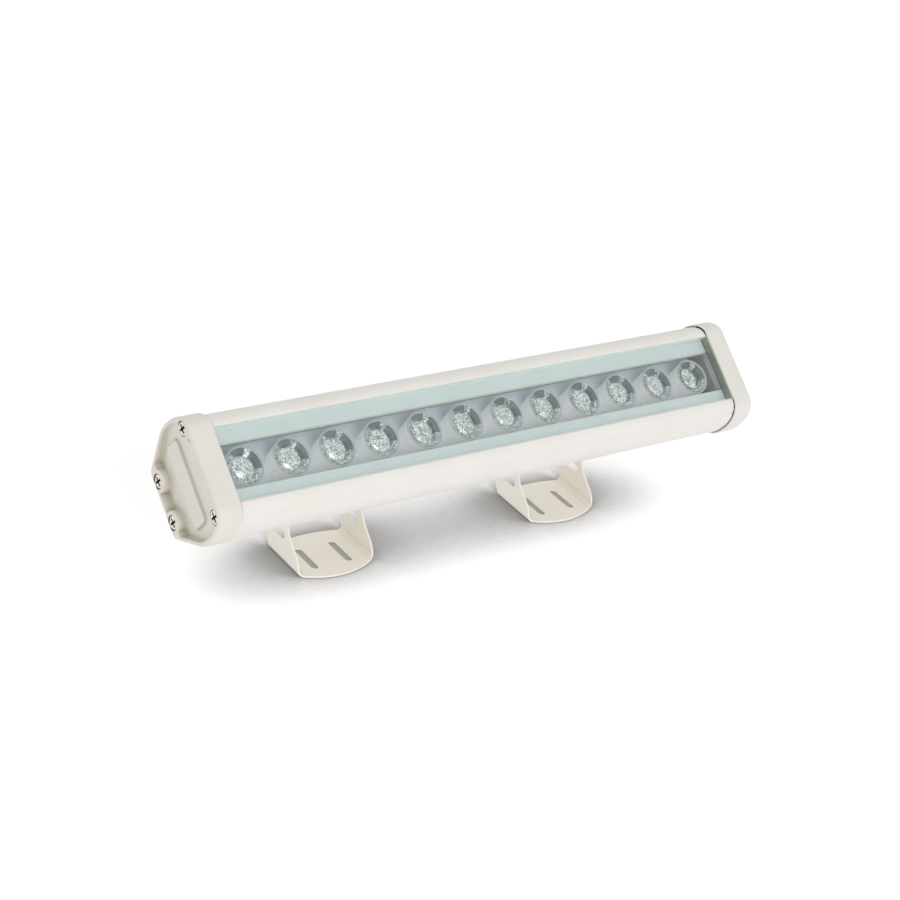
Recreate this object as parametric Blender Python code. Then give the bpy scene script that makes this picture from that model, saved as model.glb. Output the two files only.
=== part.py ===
"""Wall washer light: a short LED bar behind flat glass, on two brackets that tilt and slide.

Sizes are in millimetres and become metres where a mesh is made. The world's origin lies on the
floor, in the middle of the whole object's footprint. The bar is drawn in its own frame: x along
the bar, y towards its upper edge, z out of the glass, with z = 0 on the outer face of the glass.
An empty on the tilt axis leans that frame back.
"""

import math

import bmesh
import bpy
from mathutils import Vector

MM = 0.001
GAP = 0.3
EDGE = 0.4

# Bar: how it stands
TILT = 36.5
PIVOT_Y = 22.0
PIVOT_HEIGHT = 32.3
PIVOT_BEHIND_SLOTS = 16.2
PIVOT_BELOW_BACK = 15.8

# Light engine
LENS_COUNT = 12
LENS_PITCH = 25.0
LENS_RADIUS = 9.55
LENS_TOP = -7.0
LENS_DISH = 0.9
LENS_RIM = 1.2
LENS_TAPER = 1.2
LENS_CAVITY_RADIUS = 4.4
LENS_MARGIN = 0.9
BOARD_TOP = -18.0
BOARD_THICKNESS = 1.6
BOARD_END_GAP = 1.0
LED_SIZE = 3.5
LED_BASE_HEIGHT = 0.9
LED_DOME_RADIUS = 1.5

# Housing: an extruded profile
END_MARGIN = 0.75
LIP_TOP = 0.2
LIP_FLAT = 0.35
CORNER_WIDTH = 9.8
CORNER_DROP = 15.2
SHOULDER_DEPTH = 21.3
SHOULDER_RADIUS = 15.0
BACK_DEPTH = 42.2
BACK_HALF_WIDTH = 16.0
BACK_RADIUS = 2.6
SIDE_GROOVE_ANGLE = 49.5
SIDE_GROOVE_WIDTH = 1.1
SIDE_GROOVE_DEPTH = 0.7
SIDE_WALL = 4.2
WEB = 2.5
CHAMBER_WALL = 2.6

# Glass and its ledges
GLASS_THICKNESS = 4.0
SEAL_THICKNESS = 0.8
LEDGE_WIDTH = 7.2
LEDGE_THICKNESS = 2.6

# T-slot along the back, for the head of an M5 bolt
SLOT_NECK_HALF = 2.8
SLOT_LIP = 2.2
SLOT_WALL = 1.8
BOLT_SIZE = 5.0
BOLT_ACROSS_FLATS = 8.0
BOLT_HEAD_HEIGHT = 3.5
NUT_HEIGHT = 4.0
BOLT_TAIL = 2.0

# Cap screws
FRONT_SCREW_INSET = 7.04
FRONT_SCREW_DEPTH = 4.46
BACK_SCREW_INSET = 5.88
BACK_SCREW_RISE = 2.96
SCREW_HEAD_RADIUS = 3.3
SCREW_SHANK_RADIUS = 1.6
SCREW_LENGTH = 14.0
SCREW_SEAT_DEPTH = 2.4
SCREW_CONE = 1.3
SCREW_RIM = 0.25
SCREW_SINK = 0.35
CROSS_SPAN = 3.6
CROSS_WIDTH = 0.95
CROSS_DEPTH = 1.2

# End caps
CAP_THICKNESS = 12.2
CAP_PROUD = 1.1
CAP_JOINT = 0.4
CAP_EDGE_RADIUS = 1.8
CAP_RIM = 2.4
CAP_SLOPE = 0.11
CAP_SLOPE_START = -1.0
CAP_MOUTH = -4.0
CAP_BOSS_RADIUS = 5.6
CAP_BOSS_TURN = 22.0
CAP_CAVITY_DEPTH = 5.0
CAP_CAVITY_HALF_WIDTH = 15.0
CAP_CAVITY_FRONT = -9.5
CAP_CAVITY_BACK = -32.5
GASKET_THICKNESS = 0.9
GASKET_WIDTH = 5.2
GASKET_RIM = 1.4
PAD_HALF_WIDTH = 19.8
PAD_FRONT = -12.0
PAD_BACK = -25.0
PAD_HEIGHT = 1.3
PAD_RADIUS = 2.5
PAD_BEVEL = 0.5
MARK_PLACE = (-14.6, -2.2)
MARK_SIZE = 1.6
MARK_DEPTH = 0.5

# Driver in the rear chamber
DRIVER_END_GAP = 32.75
DRIVER_SIDE_GAP = 2.3
DRIVER_THICKNESS = 1.6
TRANSFORMER = (26.0, 17.0, 5.0)
TRANSFORMER_CORNER = 1.2
TRANSFORMER_X = 34.0
CAPACITOR_RADIUS = 2.6
CAPACITOR_LENGTH = 20.0
CAPACITOR_X = -32.0

# Cable gland on the right cap
GLAND_PLACE = (2.0, -26.0)
GLAND_BOSS_RADIUS = 9.0
GLAND_BOSS_SINK = 1.4
GLAND_THREAD_RADIUS = 6.0
GLAND_FLATS = 14.0
GLAND_COLLAR = 3.6
GLAND_REACH = 15.0
GLAND_SPIGOT = 4.0
GLAND_START = 2.0
GLAND_WALL_CUT = 0.6
GLAND_DOME = 3.4
GLAND_CROWN = 1.0
GLAND_BORE_RADIUS = 2.8

# Base brackets: folded sheet
BRACKET_X = 71.0
SHEET = 1.0
BASE_HALF_WIDTH = 22.0
BEND_RADIUS = 3.0
BASE_BACK = 18.1
BASE_BACK_CORNER = 16.0
BASE_FRONT = 16.9
BASE_FRONT_CORNER = 12.3
FOOT_SLOT_X = 9.8
FOOT_SLOT_LENGTH = 17.6
FOOT_SLOT_WIDTH = 4.0
ARM_END_RADIUS = 9.5
ARM_FRONT = 10.4
ARM_FRONT_BULGE = (-7.0, 13.0)
ARM_FRONT_WAIST = (5.5, 10.0)
ARM_BACK = 16.3
ARM_BACK_CURVE = (20.9, 6.2)
ARM_SLOT_Y = 10.2
ARM_SLOT_HEIGHT = 13.1
ARM_SLOT_LENGTH = 10.8

# Saddles: folded sheet between the arms
SADDLE_SHEET = 1.5
SADDLE_HALF_DEPTH = 8.0
ARM_CLEARANCE = 0.4

# Fineness of round shapes
CORNER_STEPS = 9
HOLE_SIDES = 20
ROUND_SIDES = 24
BOLT_SIDES = 18
BEND_STEPS = 4

HOUSING_LENGTH = LENS_COUNT * LENS_PITCH + 2 * END_MARGIN
LEDGE_EDGE = LENS_RADIUS + LENS_MARGIN
GLASS_HALF_WIDTH = LEDGE_EDGE + LEDGE_WIDTH
LIP_INNER = GLASS_HALF_WIDTH + GAP
FRONT_FLAT = LIP_INNER + LIP_FLAT
HALF_WIDTH = FRONT_FLAT + CORNER_WIDTH
PIVOT_BELOW_GLASS = BACK_DEPTH + PIVOT_BELOW_BACK
LEDGE_TOP = -GLASS_THICKNESS - 2 * GAP - SEAL_THICKNESS
LEDGE_BOTTOM = LEDGE_TOP - LEDGE_THICKNESS
BOARD_BOTTOM = BOARD_TOP - BOARD_THICKNESS
WEB_TOP = BOARD_BOTTOM - GAP
WEB_BOTTOM = WEB_TOP - WEB
FRONT_CHAMBER_HALF = HALF_WIDTH - SIDE_WALL
BOARD_HALF_WIDTH = FRONT_CHAMBER_HALF - GAP
SLOT_INNER_HALF = BOLT_ACROSS_FLATS / 2 + GAP
SLOT_LIP_TOP = -BACK_DEPTH + SLOT_LIP
SLOT_ROOF = SLOT_LIP_TOP + BOLT_HEAD_HEIGHT + 2 * GAP
CHAMBER_FLOOR = SLOT_ROOF + SLOT_WALL
FRONT_SCREW = (HALF_WIDTH - FRONT_SCREW_INSET, -FRONT_SCREW_DEPTH)
BACK_SCREW = (BACK_HALF_WIDTH - BACK_SCREW_INSET, BACK_SCREW_RISE - BACK_DEPTH)
PORT_RADIUS = SCREW_SHANK_RADIUS + GAP
CAP_INNER = HOUSING_LENGTH / 2 + CAP_JOINT
CAP_FRONT = LIP_TOP + CAP_PROUD
SEAT_START = CAP_THICKNESS - SCREW_SEAT_DEPTH
BOLT_RADIUS = BOLT_SIZE / 2
BOLT_HOLE = BOLT_RADIUS + GAP
PLATE_OUTER = PIVOT_BELOW_GLASS - BACK_DEPTH - GAP
SADDLE_HALF_WIDTH = BASE_HALF_WIDTH - SHEET - ARM_CLEARANCE
BAR_X = (GLAND_BOSS_SINK - GLAND_REACH) / 2

MATERIALS = {
    "cream_paint": ((0.80, 0.77, 0.71, 1.0), 0.45, 0.0),
    "bracket_paint": ((0.74, 0.71, 0.62, 1.0), 0.5, 0.0),
    "bright_steel": ((0.72, 0.72, 0.70, 1.0), 0.25, 1.0),
    "zinc_steel": ((0.62, 0.63, 0.63, 1.0), 0.35, 1.0),
    "green_glass": ((0.55, 0.72, 0.68, 1.0), 0.05, 0.0),
    "white_silicone": ((0.80, 0.85, 0.83, 1.0), 0.6, 0.0),
    "black_rubber": ((0.03, 0.03, 0.03, 1.0), 0.8, 0.0),
    "clear_acrylic": ((0.80, 0.84, 0.87, 1.0), 0.08, 0.0),
    "white_board": ((0.78, 0.81, 0.85, 1.0), 0.45, 0.0),
    "led_package": ((0.85, 0.78, 0.35, 1.0), 0.3, 0.0),
    "green_board": ((0.05, 0.22, 0.10, 1.0), 0.5, 0.0),
    "dark_plastic": ((0.05, 0.05, 0.06, 1.0), 0.4, 0.0),
}


def clear_scene():
    """Remove whatever the file opened with."""
    for thing in list(bpy.data.objects):
        bpy.data.objects.remove(thing, do_unlink=True)


def material(name):
    """The named material, made on first use."""
    found = bpy.data.materials.get(name)
    if found:
        return found
    colour, roughness, metallic = MATERIALS[name]
    made = bpy.data.materials.new(name)
    made.use_nodes = True
    shader = made.node_tree.nodes["Principled BSDF"]
    shader.inputs["Base Color"].default_value = colour
    shader.inputs["Roughness"].default_value = roughness
    shader.inputs["Metallic"].default_value = metallic
    made.diffuse_color = colour
    return made


def axis_empty(name, x, y, z, lean=0.0):
    """An empty at a joint, leaning about X by so many degrees."""
    empty = bpy.data.objects.new(name, None)
    empty.location = (x * MM, y * MM, z * MM)
    empty.rotation_euler = (math.radians(lean), 0, 0)
    bpy.context.scene.collection.objects.link(empty)
    return empty


def piece(name, mesh, finish, parent=None, at=(0, 0, 0), turn=(0, 0, 0)):
    """Place a mesh as one named object."""
    thing = bpy.data.objects.new(name, mesh)
    thing.parent = parent
    thing.location = Vector(at) * MM
    thing.rotation_euler = turn
    bpy.context.scene.collection.objects.link(thing)
    if not mesh.materials:
        mesh.materials.append(material(finish))
    return thing


def finish_mesh(name, grown, smooth=35):
    """Turn a bmesh into a mesh with its faces outward and its round faces smooth."""
    bmesh.ops.recalc_face_normals(grown, faces=grown.faces)
    mesh = bpy.data.meshes.new(name)
    grown.to_mesh(mesh)
    grown.free()
    mesh.shade_smooth()
    mesh.set_sharp_from_angle(angle=math.radians(smooth))
    return mesh


def loft(name, loops, ring=False):
    """A closed solid through loops of equal point counts; a ring joins its last loop to its first."""
    grown = bmesh.new()
    rows = [[grown.verts.new(Vector(point) * MM) for point in loop] for loop in loops]
    pairs = list(zip(rows, rows[1:]))
    if ring:
        pairs.append((rows[-1], rows[0]))
    for low, high in pairs:
        for i in range(len(low)):
            j = (i + 1) % len(low)
            grown.faces.new((low[i], low[j], high[j], high[i]))
    if not ring:
        grown.faces.new(rows[0])
        grown.faces.new(rows[-1])
    return finish_mesh(name, grown)


def prism(name, outlines, start, end):
    """Extrude flat (y, z) outlines along x; the first is the outside and the others are holes."""
    grown = bmesh.new()
    edges = []
    for outline in outlines:
        points = [grown.verts.new((start * MM, y * MM, z * MM)) for y, z in outline]
        edges += [grown.edges.new(pair) for pair in zip(points, points[1:] + points[:1])]
    filled = bmesh.ops.triangle_fill(grown, use_beauty=True, use_dissolve=False, edges=edges)
    faces = [part for part in filled["geom"] if isinstance(part, bmesh.types.BMFace)]
    extruded = bmesh.ops.extrude_face_region(grown, geom=faces)
    moved = [part for part in extruded["geom"] if isinstance(part, bmesh.types.BMVert)]
    bmesh.ops.translate(grown, verts=moved, vec=((end - start) * MM, 0, 0))
    return finish_mesh(name, grown)


def box(name, low, high):
    """A plain block between two corners."""
    (x0, y0, z0), (x1, y1, z1) = low, high
    return loft(name, [[(x, y0, z0), (x, y1, z0), (x, y1, z1), (x, y0, z1)] for x in (x0, x1)])


def reach(radius, sides, angle):
    """Distance to the edge of a flat-sided shape whose flats lie radius away, or of a circle."""
    if not sides:
        return radius
    part = 2 * math.pi / sides
    return radius / math.cos((angle % part) - part / 2)


def turned_loops(stations, count=ROUND_SIDES, centre=(0, 0)):
    """Loops about the x axis through (x, radius) or (x, radius, sides) stations."""
    loops = []
    for station in stations:
        x, radius = station[:2]
        sides = station[2] if len(station) > 2 else 0
        loop = []
        for i in range(count):
            angle = 2 * math.pi * i / count
            far = reach(radius, sides, angle)
            loop.append((x, centre[0] + far * math.cos(angle), centre[1] + far * math.sin(angle)))
        loops.append(loop)
    return loops


def turned(name, stations, count=ROUND_SIDES, centre=(0, 0), ring=False):
    """A solid turned about the x axis."""
    return loft(name, turned_loops(stations, count, centre), ring)


def stood_up(name, stations, count=ROUND_SIDES, ring=False):
    """A solid turned about the z axis, from (z, radius) stations."""
    loops = [[(y, z, x) for x, y, z in loop] for loop in turned_loops(stations, count)]
    return loft(name, loops, ring)


def circle(centre, radius, count=HOLE_SIDES):
    """A round outline."""
    turns = [2 * math.pi * i / count for i in range(count)]
    return [(centre[0] + radius * math.cos(t), centre[1] + radius * math.sin(t)) for t in turns]


def rounded(points, radii, steps):
    """The points of an open line with its inner corners turned into arcs."""
    line = [points[0]]
    for before, corner, after, radius in zip(points, points[1:], points[2:], radii):
        here = Vector(corner)
        to_before = (Vector(before) - here).normalized()
        to_after = (Vector(after) - here).normalized()
        half = to_before.angle(to_after) / 2
        centre = here + (to_before + to_after).normalized() * radius / math.sin(half)
        first = here + to_before * radius / math.tan(half) - centre
        last = here + to_after * radius / math.tan(half) - centre
        sweep = first.angle_signed(last)
        for step in range(steps + 1):
            angle = -sweep * step / steps
            line.append((
                centre.x + first.x * math.cos(angle) - first.y * math.sin(angle),
                centre.y + first.x * math.sin(angle) + first.y * math.cos(angle),
            ))
    line.append(points[-1])
    return line


def mirrored(half):
    """A closed outline from its right half, which runs from front to back."""
    return half + [(-y, z) for y, z in reversed(half)]


def grown_outline(outline, distance):
    """The outline moved outward by a distance along its own normals."""
    moved = []
    for i, here in enumerate(outline):
        before, after = Vector(outline[i - 1]), Vector(outline[(i + 1) % len(outline)])
        here = Vector(here)
        into, out = (here - before).normalized(), (after - here).normalized()
        normal = (Vector((-into.y, into.x)) + Vector((-out.y, out.x))).normalized()
        stretch = max(0.5, normal.dot(Vector((-into.y, into.x))))
        moved.append(tuple(here + normal * distance / stretch))
    return moved


def corner_point(angle, depth=0.0):
    """A point on the housing's rounded front corner, an ellipse, or below its surface."""
    turn = math.radians(angle)
    normal = Vector((math.cos(turn) / CORNER_WIDTH, math.sin(turn) / CORNER_DROP)).normalized()
    across, up = CORNER_WIDTH * math.cos(turn), CORNER_DROP * math.sin(turn)
    point = Vector((FRONT_FLAT + across, LIP_TOP - CORNER_DROP + up))
    return tuple(point - normal * depth)


def half_section(grooved):
    """The right half of the housing's outside, from the front lip to the middle of the back."""
    turn = math.radians(SIDE_GROOVE_ANGLE)
    run = math.hypot(CORNER_WIDTH * math.sin(turn), CORNER_DROP * math.cos(turn))
    groove_half = math.degrees(SIDE_GROOVE_WIDTH / 2 / run)
    corner = []
    for step in range(CORNER_STEPS + 1):
        angle = 90 - 90 * step / CORNER_STEPS
        if not grooved or abs(angle - SIDE_GROOVE_ANGLE) > 1.6 * groove_half:
            corner.append((angle, 0.0))
    if grooved:
        corner.append((SIDE_GROOVE_ANGLE, SIDE_GROOVE_DEPTH))
        corner += [(SIDE_GROOVE_ANGLE + side * groove_half, 0.0) for side in (-1, 1)]
    front = [corner_point(angle, depth) for angle, depth in sorted(corner, reverse=True)]
    shoulder, heel = (HALF_WIDTH, -SHOULDER_DEPTH), (BACK_HALF_WIDTH, -BACK_DEPTH)
    corners = [front[-1], shoulder, heel, (0.0, -BACK_DEPTH)]
    back = rounded(corners, (SHOULDER_RADIUS, BACK_RADIUS), 5)
    return front + back[1:-1]


def plain_outline():
    """The housing's outside without its groove and slots."""
    return mirrored(half_section(grooved=False))


def housing_outline():
    """The whole outside of the profile, with the glass recess, the front chamber and the T-slot."""
    slot = [
        (SLOT_NECK_HALF, -BACK_DEPTH),
        (SLOT_NECK_HALF, SLOT_LIP_TOP),
        (SLOT_INNER_HALF, SLOT_LIP_TOP),
        (SLOT_INNER_HALF, SLOT_ROOF),
    ]
    recess = [
        (LIP_INNER, LIP_TOP),
        (LIP_INNER, LEDGE_TOP),
        (LEDGE_EDGE, LEDGE_TOP),
        (LEDGE_EDGE, LEDGE_BOTTOM),
        (FRONT_CHAMBER_HALF, LEDGE_BOTTOM),
        (FRONT_CHAMBER_HALF, WEB_TOP),
    ]
    return mirrored(list(reversed(recess)) + half_section(grooved=True) + slot)


def chamber_side(z):
    """Half the rear chamber's width at a height, a wall's thickness inside the tapering sides."""
    taper = Vector((HALF_WIDTH - BACK_HALF_WIDTH, BACK_DEPTH - SHOULDER_DEPTH)).normalized()
    outside = HALF_WIDTH - (-SHOULDER_DEPTH - z) * taper.x / taper.y
    return outside - CHAMBER_WALL / taper.y


def chamber_outline():
    """The rear chamber, which holds the driver."""
    top = min(chamber_side(WEB_BOTTOM), FRONT_CHAMBER_HALF)
    return mirrored([(top, WEB_BOTTOM), (chamber_side(CHAMBER_FLOOR), CHAMBER_FLOOR)])


def screw_places():
    """The four cap screws, as (y, z) in the bar's frame."""
    return [(side * y, z) for y, z in (FRONT_SCREW, BACK_SCREW) for side in (1, -1)]


def cutter(name, mesh, parent):
    """A hidden object that a Boolean cuts with or joins."""
    thing = piece(name, mesh, "dark_plastic", parent)
    thing.hide_render = True
    thing.display_type = "WIRE"
    return thing


def carve(target, tool, operation="DIFFERENCE"):
    """Cut a tool out of a target, or join it on."""
    step = target.modifiers.new(tool.name, "BOOLEAN")
    step.operation = operation
    step.solver = "EXACT"
    step.object = tool


def settled(thing, name):
    """The mesh that an object's modifiers make, as a mesh of its own."""
    bpy.context.view_layer.update()
    graph = bpy.context.evaluated_depsgraph_get()
    mesh = bpy.data.meshes.new_from_object(thing.evaluated_get(graph))
    mesh.name = name
    return mesh


def build_housing(tilt):
    """The extruded profile, glass, seals and their places."""
    at = (0, 0, PIVOT_BELOW_GLASS)
    half = HOUSING_LENGTH / 2
    ports = [circle(place, PORT_RADIUS, 12) for place in screw_places()]
    profile = prism("housing", [housing_outline(), chamber_outline()] + ports, -half, half)
    piece("housing", profile, "cream_paint", tilt, at)
    glass = box("front_glass", (-half, -GLASS_HALF_WIDTH, -GLASS_THICKNESS), (half, GLASS_HALF_WIDTH, 0))
    piece("front_glass", glass, "green_glass", tilt, at)
    for name, side in (("upper", 1), ("lower", -1)):
        edges = sorted((side * (LEDGE_EDGE + GAP), side * GLASS_HALF_WIDTH))
        top = -GLASS_THICKNESS - GAP
        strip = box("glass_seal", (-half, edges[0], top - SEAL_THICKNESS), (half, edges[1], top))
        piece(f"glass_seal_{name}", strip, "white_silicone", tilt, at)


def build_light_engine(tilt):
    """The LED board with its emitters and lenses."""
    at = (0, 0, PIVOT_BELOW_GLASS)
    half = HOUSING_LENGTH / 2 - BOARD_END_GAP
    low, high = (-half, -BOARD_HALF_WIDTH, BOARD_BOTTOM), (half, BOARD_HALF_WIDTH, BOARD_TOP)
    board = box("led_board", low, high)
    piece("led_board", board, "white_board", tilt, at)
    foot = BOARD_TOP + GAP
    dome_base = foot + LED_BASE_HEIGHT
    led = stood_up("led", [
        (foot, LED_SIZE / 2, 4),
        (dome_base, LED_SIZE / 2, 4),
        (dome_base, LED_DOME_RADIUS),
        (dome_base + 0.5 * LED_DOME_RADIUS, 0.87 * LED_DOME_RADIUS),
        (dome_base + 0.85 * LED_DOME_RADIUS, 0.5 * LED_DOME_RADIUS),
    ], count=8)
    lens = stood_up("lens", [
        (dome_base + LED_DOME_RADIUS + 1.0, LENS_CAVITY_RADIUS - 1.0),
        (foot, LENS_CAVITY_RADIUS),
        (foot, LENS_RADIUS - LENS_TAPER),
        (LENS_TOP - EDGE, LENS_RADIUS),
        (LENS_TOP, LENS_RADIUS - EDGE),
        (LENS_TOP, LENS_RADIUS - LENS_RIM),
        (LENS_TOP - LENS_DISH, LENS_RADIUS - LENS_RIM - EDGE),
    ], HOLE_SIDES)
    for number in range(LENS_COUNT):
        x = (number - (LENS_COUNT - 1) / 2) * LENS_PITCH
        place = (x, 0, PIVOT_BELOW_GLASS)
        piece(f"led_{number + 1:02d}", led, "led_package", tilt, place)
        piece(f"lens_{number + 1:02d}", lens, "clear_acrylic", tilt, place)


def build_driver(tilt):
    """The driver board and its two tall parts, in the rear chamber."""
    at = (0, 0, PIVOT_BELOW_GLASS)
    bottom = CHAMBER_FLOOR + GAP
    top = bottom + DRIVER_THICKNESS
    half = HOUSING_LENGTH / 2 - DRIVER_END_GAP
    wide = chamber_side(CHAMBER_FLOOR) - DRIVER_SIDE_GAP
    board = box("driver_board", (-half, -wide, bottom), (half, wide, top))
    piece("driver_board", board, "green_board", tilt, at)
    length, width, height = TRANSFORMER
    foot = top + GAP
    core = rounded_block(length, width, TRANSFORMER_CORNER)
    loops = [[(x, y, z) for x, y in core] for z in (foot, foot + height)]
    piece("driver_transformer", loft("driver_transformer", loops), "dark_plastic", tilt,
          (TRANSFORMER_X, 0, PIVOT_BELOW_GLASS))
    can = turned("driver_capacitor", [
        (-CAPACITOR_LENGTH / 2, CAPACITOR_RADIUS),
        (CAPACITOR_LENGTH / 2, CAPACITOR_RADIUS),
    ], count=16)
    piece("driver_capacitor", can, "dark_plastic", tilt,
          (CAPACITOR_X, 0, PIVOT_BELOW_GLASS + foot + CAPACITOR_RADIUS))


def rounded_block(length, width, radius, steps=2):
    """A rectangle about the origin with round corners, as a closed outline."""
    x, y = length / 2, width / 2
    line = [(0, -y), (x, -y), (x, y), (-x, y), (-x, -y), (0, -y)]
    return rounded(line, (radius,) * 4, steps)[:-1]


def floor_depth(z):
    """How far the sloping floor of a cap's outer face lies below its rim, at a height z."""
    return CAP_SLOPE * (CAP_SLOPE_START - z)


def boss_line():
    """The right-hand part of the pocket's edge that goes round a back screw."""
    y, z = BACK_SCREW
    inner = math.degrees(math.asin((CAP_RIM - CAP_PROUD - BACK_DEPTH - z) / CAP_BOSS_RADIUS))
    line = []
    for step in range(8):
        turn = math.radians(CAP_BOSS_TURN + (180 - inner - CAP_BOSS_TURN) * step / 7)
        line.append((y + CAP_BOSS_RADIUS * math.cos(turn), z + CAP_BOSS_RADIUS * math.sin(turn)))
    return line


def pocket_outline():
    """The recess in a cap's outer face: open at the front, round the two back screws at the back."""
    rim = grown_outline(plain_outline(), CAP_PROUD - CAP_RIM)
    bosses = boss_line()
    lowest = bosses[0][1]
    side = [point for point in rim[:len(rim) // 2] if lowest < point[1] < CAP_MOUTH]
    slope = (side[-1][0] - side[-2][0]) / (side[-1][1] - side[-2][1])
    foot = (side[-1][0] + slope * (lowest - side[-1][1]), lowest)
    return mirrored([(side[0][0], CAP_FRONT + 3)] + side + [foot] + bosses)


def cap_body():
    """A cap's outer form, with a soft edge round its outer face."""
    outline = grown_outline(plain_outline(), CAP_PROUD)
    loops = [[(0, y, z) for y, z in outline]]
    for step in range(4):
        turn = math.radians(30 * step)
        shrink = CAP_EDGE_RADIUS * (1 - math.cos(turn))
        x = CAP_THICKNESS - CAP_EDGE_RADIUS * (1 - math.sin(turn))
        loops.append([(x, y, z) for y, z in grown_outline(outline, -shrink)])
    return loft("end_cap", loops)


def screw_seat(place):
    """What a cap screw needs cut: its way through, its cone and room for its head."""
    return turned("screw_seat", [
        (-1, SCREW_SHANK_RADIUS + GAP),
        (SEAT_START, SCREW_SHANK_RADIUS + GAP),
        (SEAT_START + SCREW_CONE, SCREW_HEAD_RADIUS + GAP),
        (CAP_THICKNESS + 2, SCREW_HEAD_RADIUS + GAP),
    ], HOLE_SIDES, place)


def name_pad():
    """The long raised pad on the sloping floor, left bare."""
    loops = []
    for height, shrink in ((-1.0, 0), (PAD_HEIGHT - PAD_BEVEL, 0), (PAD_HEIGHT, PAD_BEVEL)):
        length, width = 2 * PAD_HALF_WIDTH, PAD_FRONT - PAD_BACK
        outline = rounded_block(length - 2 * shrink, width - 2 * shrink, PAD_RADIUS - shrink)
        loop = []
        for y, z in outline:
            level = z + (PAD_FRONT + PAD_BACK) / 2
            loop.append((CAP_THICKNESS - floor_depth(level) + height, y, level))
        loops.append(loop)
    return loft("name_pad", loops)


def build_cap(side, tilt):
    """One end cap with its gasket and screws; side is -1 on the left and 1 on the right."""
    name = "right" if side > 0 else "left"
    turn = (0, 0, 0 if side > 0 else math.pi)
    end = axis_empty(f"{name}_end", side * CAP_INNER, 0, PIVOT_BELOW_GLASS)
    end.parent = tilt
    end.rotation_euler = turn
    cap = piece(f"{name}_end_cap", cap_body(), "cream_paint", end)

    outline = pocket_outline()
    floor = [(CAP_THICKNESS - floor_depth(z), y, z) for y, z in outline]
    above = [(CAP_THICKNESS + 3, y, z) for y, z in outline]
    carve(cap, cutter(f"{name}_pocket_cutter", loft("pocket", [floor, above]), end))
    if side < 0:
        carve(cap, cutter("name_pad", name_pad(), end), "UNION")
        mark = [(MARK_SIZE * math.cos(t), MARK_SIZE * math.sin(t)) for t in (0, 2.1, 4.2)]
        y, z = MARK_PLACE
        top = CAP_THICKNESS - floor_depth(z)
        loops = [[(top + x, y + a, z + b) for a, b in mark] for x in (-MARK_DEPTH, 1)]
        carve(cap, cutter("mark_cutter", loft("mark", loops), end))
    else:
        build_gland(cap, end)
    for number, place in enumerate(screw_places()):
        carve(cap, cutter(f"{name}_seat_cutter_{number + 1}", screw_seat(place), end))

    recess_edge = grown_outline(plain_outline(), CAP_PROUD - GASKET_RIM)
    recess_depth = GASKET_THICKNESS + 2 * GAP - CAP_JOINT
    recess = prism("gasket_recess", [recess_edge], -1, recess_depth)
    carve(cap, cutter(f"{name}_recess_cutter", recess, end))
    cavity = box("cap_cavity", (-1, -CAP_CAVITY_HALF_WIDTH, CAP_CAVITY_BACK),
                 (CAP_CAVITY_DEPTH, CAP_CAVITY_HALF_WIDTH, CAP_CAVITY_FRONT))
    carve(cap, cutter(f"{name}_cavity_cutter", cavity, end))

    rim = grown_outline(plain_outline(), CAP_PROUD - GASKET_RIM - GAP)
    holes = [circle(place, SCREW_SHANK_RADIUS + GAP, 12) for place in screw_places()]
    start = recess_depth - GAP - GASKET_THICKNESS
    gasket = prism("cap_gasket", [rim, gasket_opening()] + holes, start, start + GASKET_THICKNESS)
    piece(f"{name}_cap_gasket", gasket, "black_rubber", end)

    screw = cap_screw()
    for number, (y, z) in enumerate(screw_places()):
        piece(f"{name}_cap_screw_{number + 1}", screw, "bright_steel", end, (0, y, z))


def gasket_opening():
    """The opening in a gasket, clear of its four screws."""
    front, back, width = FRONT_SCREW, BACK_SCREW, GASKET_WIDTH
    return mirrored([
        (front[0] - width, front[1]),
        (HALF_WIDTH - width - 1, front[1] - width),
        (HALF_WIDTH - width - 1, -SHOULDER_DEPTH),
        (back[0] + width / 2, back[1] + width),
    ])


def cap_screw():
    """A countersunk screw with a cross recess, as a mesh shared by all eight."""
    shared = bpy.data.meshes.get("cap_screw")
    if shared:
        return shared
    neck = SEAT_START + GAP
    rim = neck + SCREW_CONE
    top = CAP_THICKNESS - SCREW_SINK
    blank = piece("screw_blank", turned("screw_blank", [
        (neck - SCREW_LENGTH, 0.6 * SCREW_SHANK_RADIUS),
        (neck - SCREW_LENGTH + SCREW_SHANK_RADIUS, SCREW_SHANK_RADIUS),
        (neck, SCREW_SHANK_RADIUS),
        (rim, SCREW_HEAD_RADIUS),
        (rim + SCREW_RIM, SCREW_HEAD_RADIUS),
        (top - 0.5 * SCREW_RIM, 0.75 * SCREW_HEAD_RADIUS),
        (top, 0.5 * SCREW_HEAD_RADIUS),
    ], 16), "bright_steel")
    long, wide = CROSS_SPAN / 2, CROSS_WIDTH / 2
    arm = [(long, -wide), (long, wide), (wide, wide)]
    outline = []
    for quarter in range(4):
        turn = math.radians(90 * quarter)
        for y, z in arm:
            across = y * math.cos(turn) - z * math.sin(turn)
            outline.append((across, y * math.sin(turn) + z * math.cos(turn)))
    loops = [[(top - CROSS_DEPTH, 0.55 * y, 0.55 * z) for y, z in outline]]
    loops.append([(top + 1, 1.2 * y, 1.2 * z) for y, z in outline])
    carve(blank, cutter("cross_cutter", loft("cross", loops), None))
    blank.hide_render = True
    blank.display_type = "WIRE"
    return settled(blank, "cap_screw")


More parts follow.
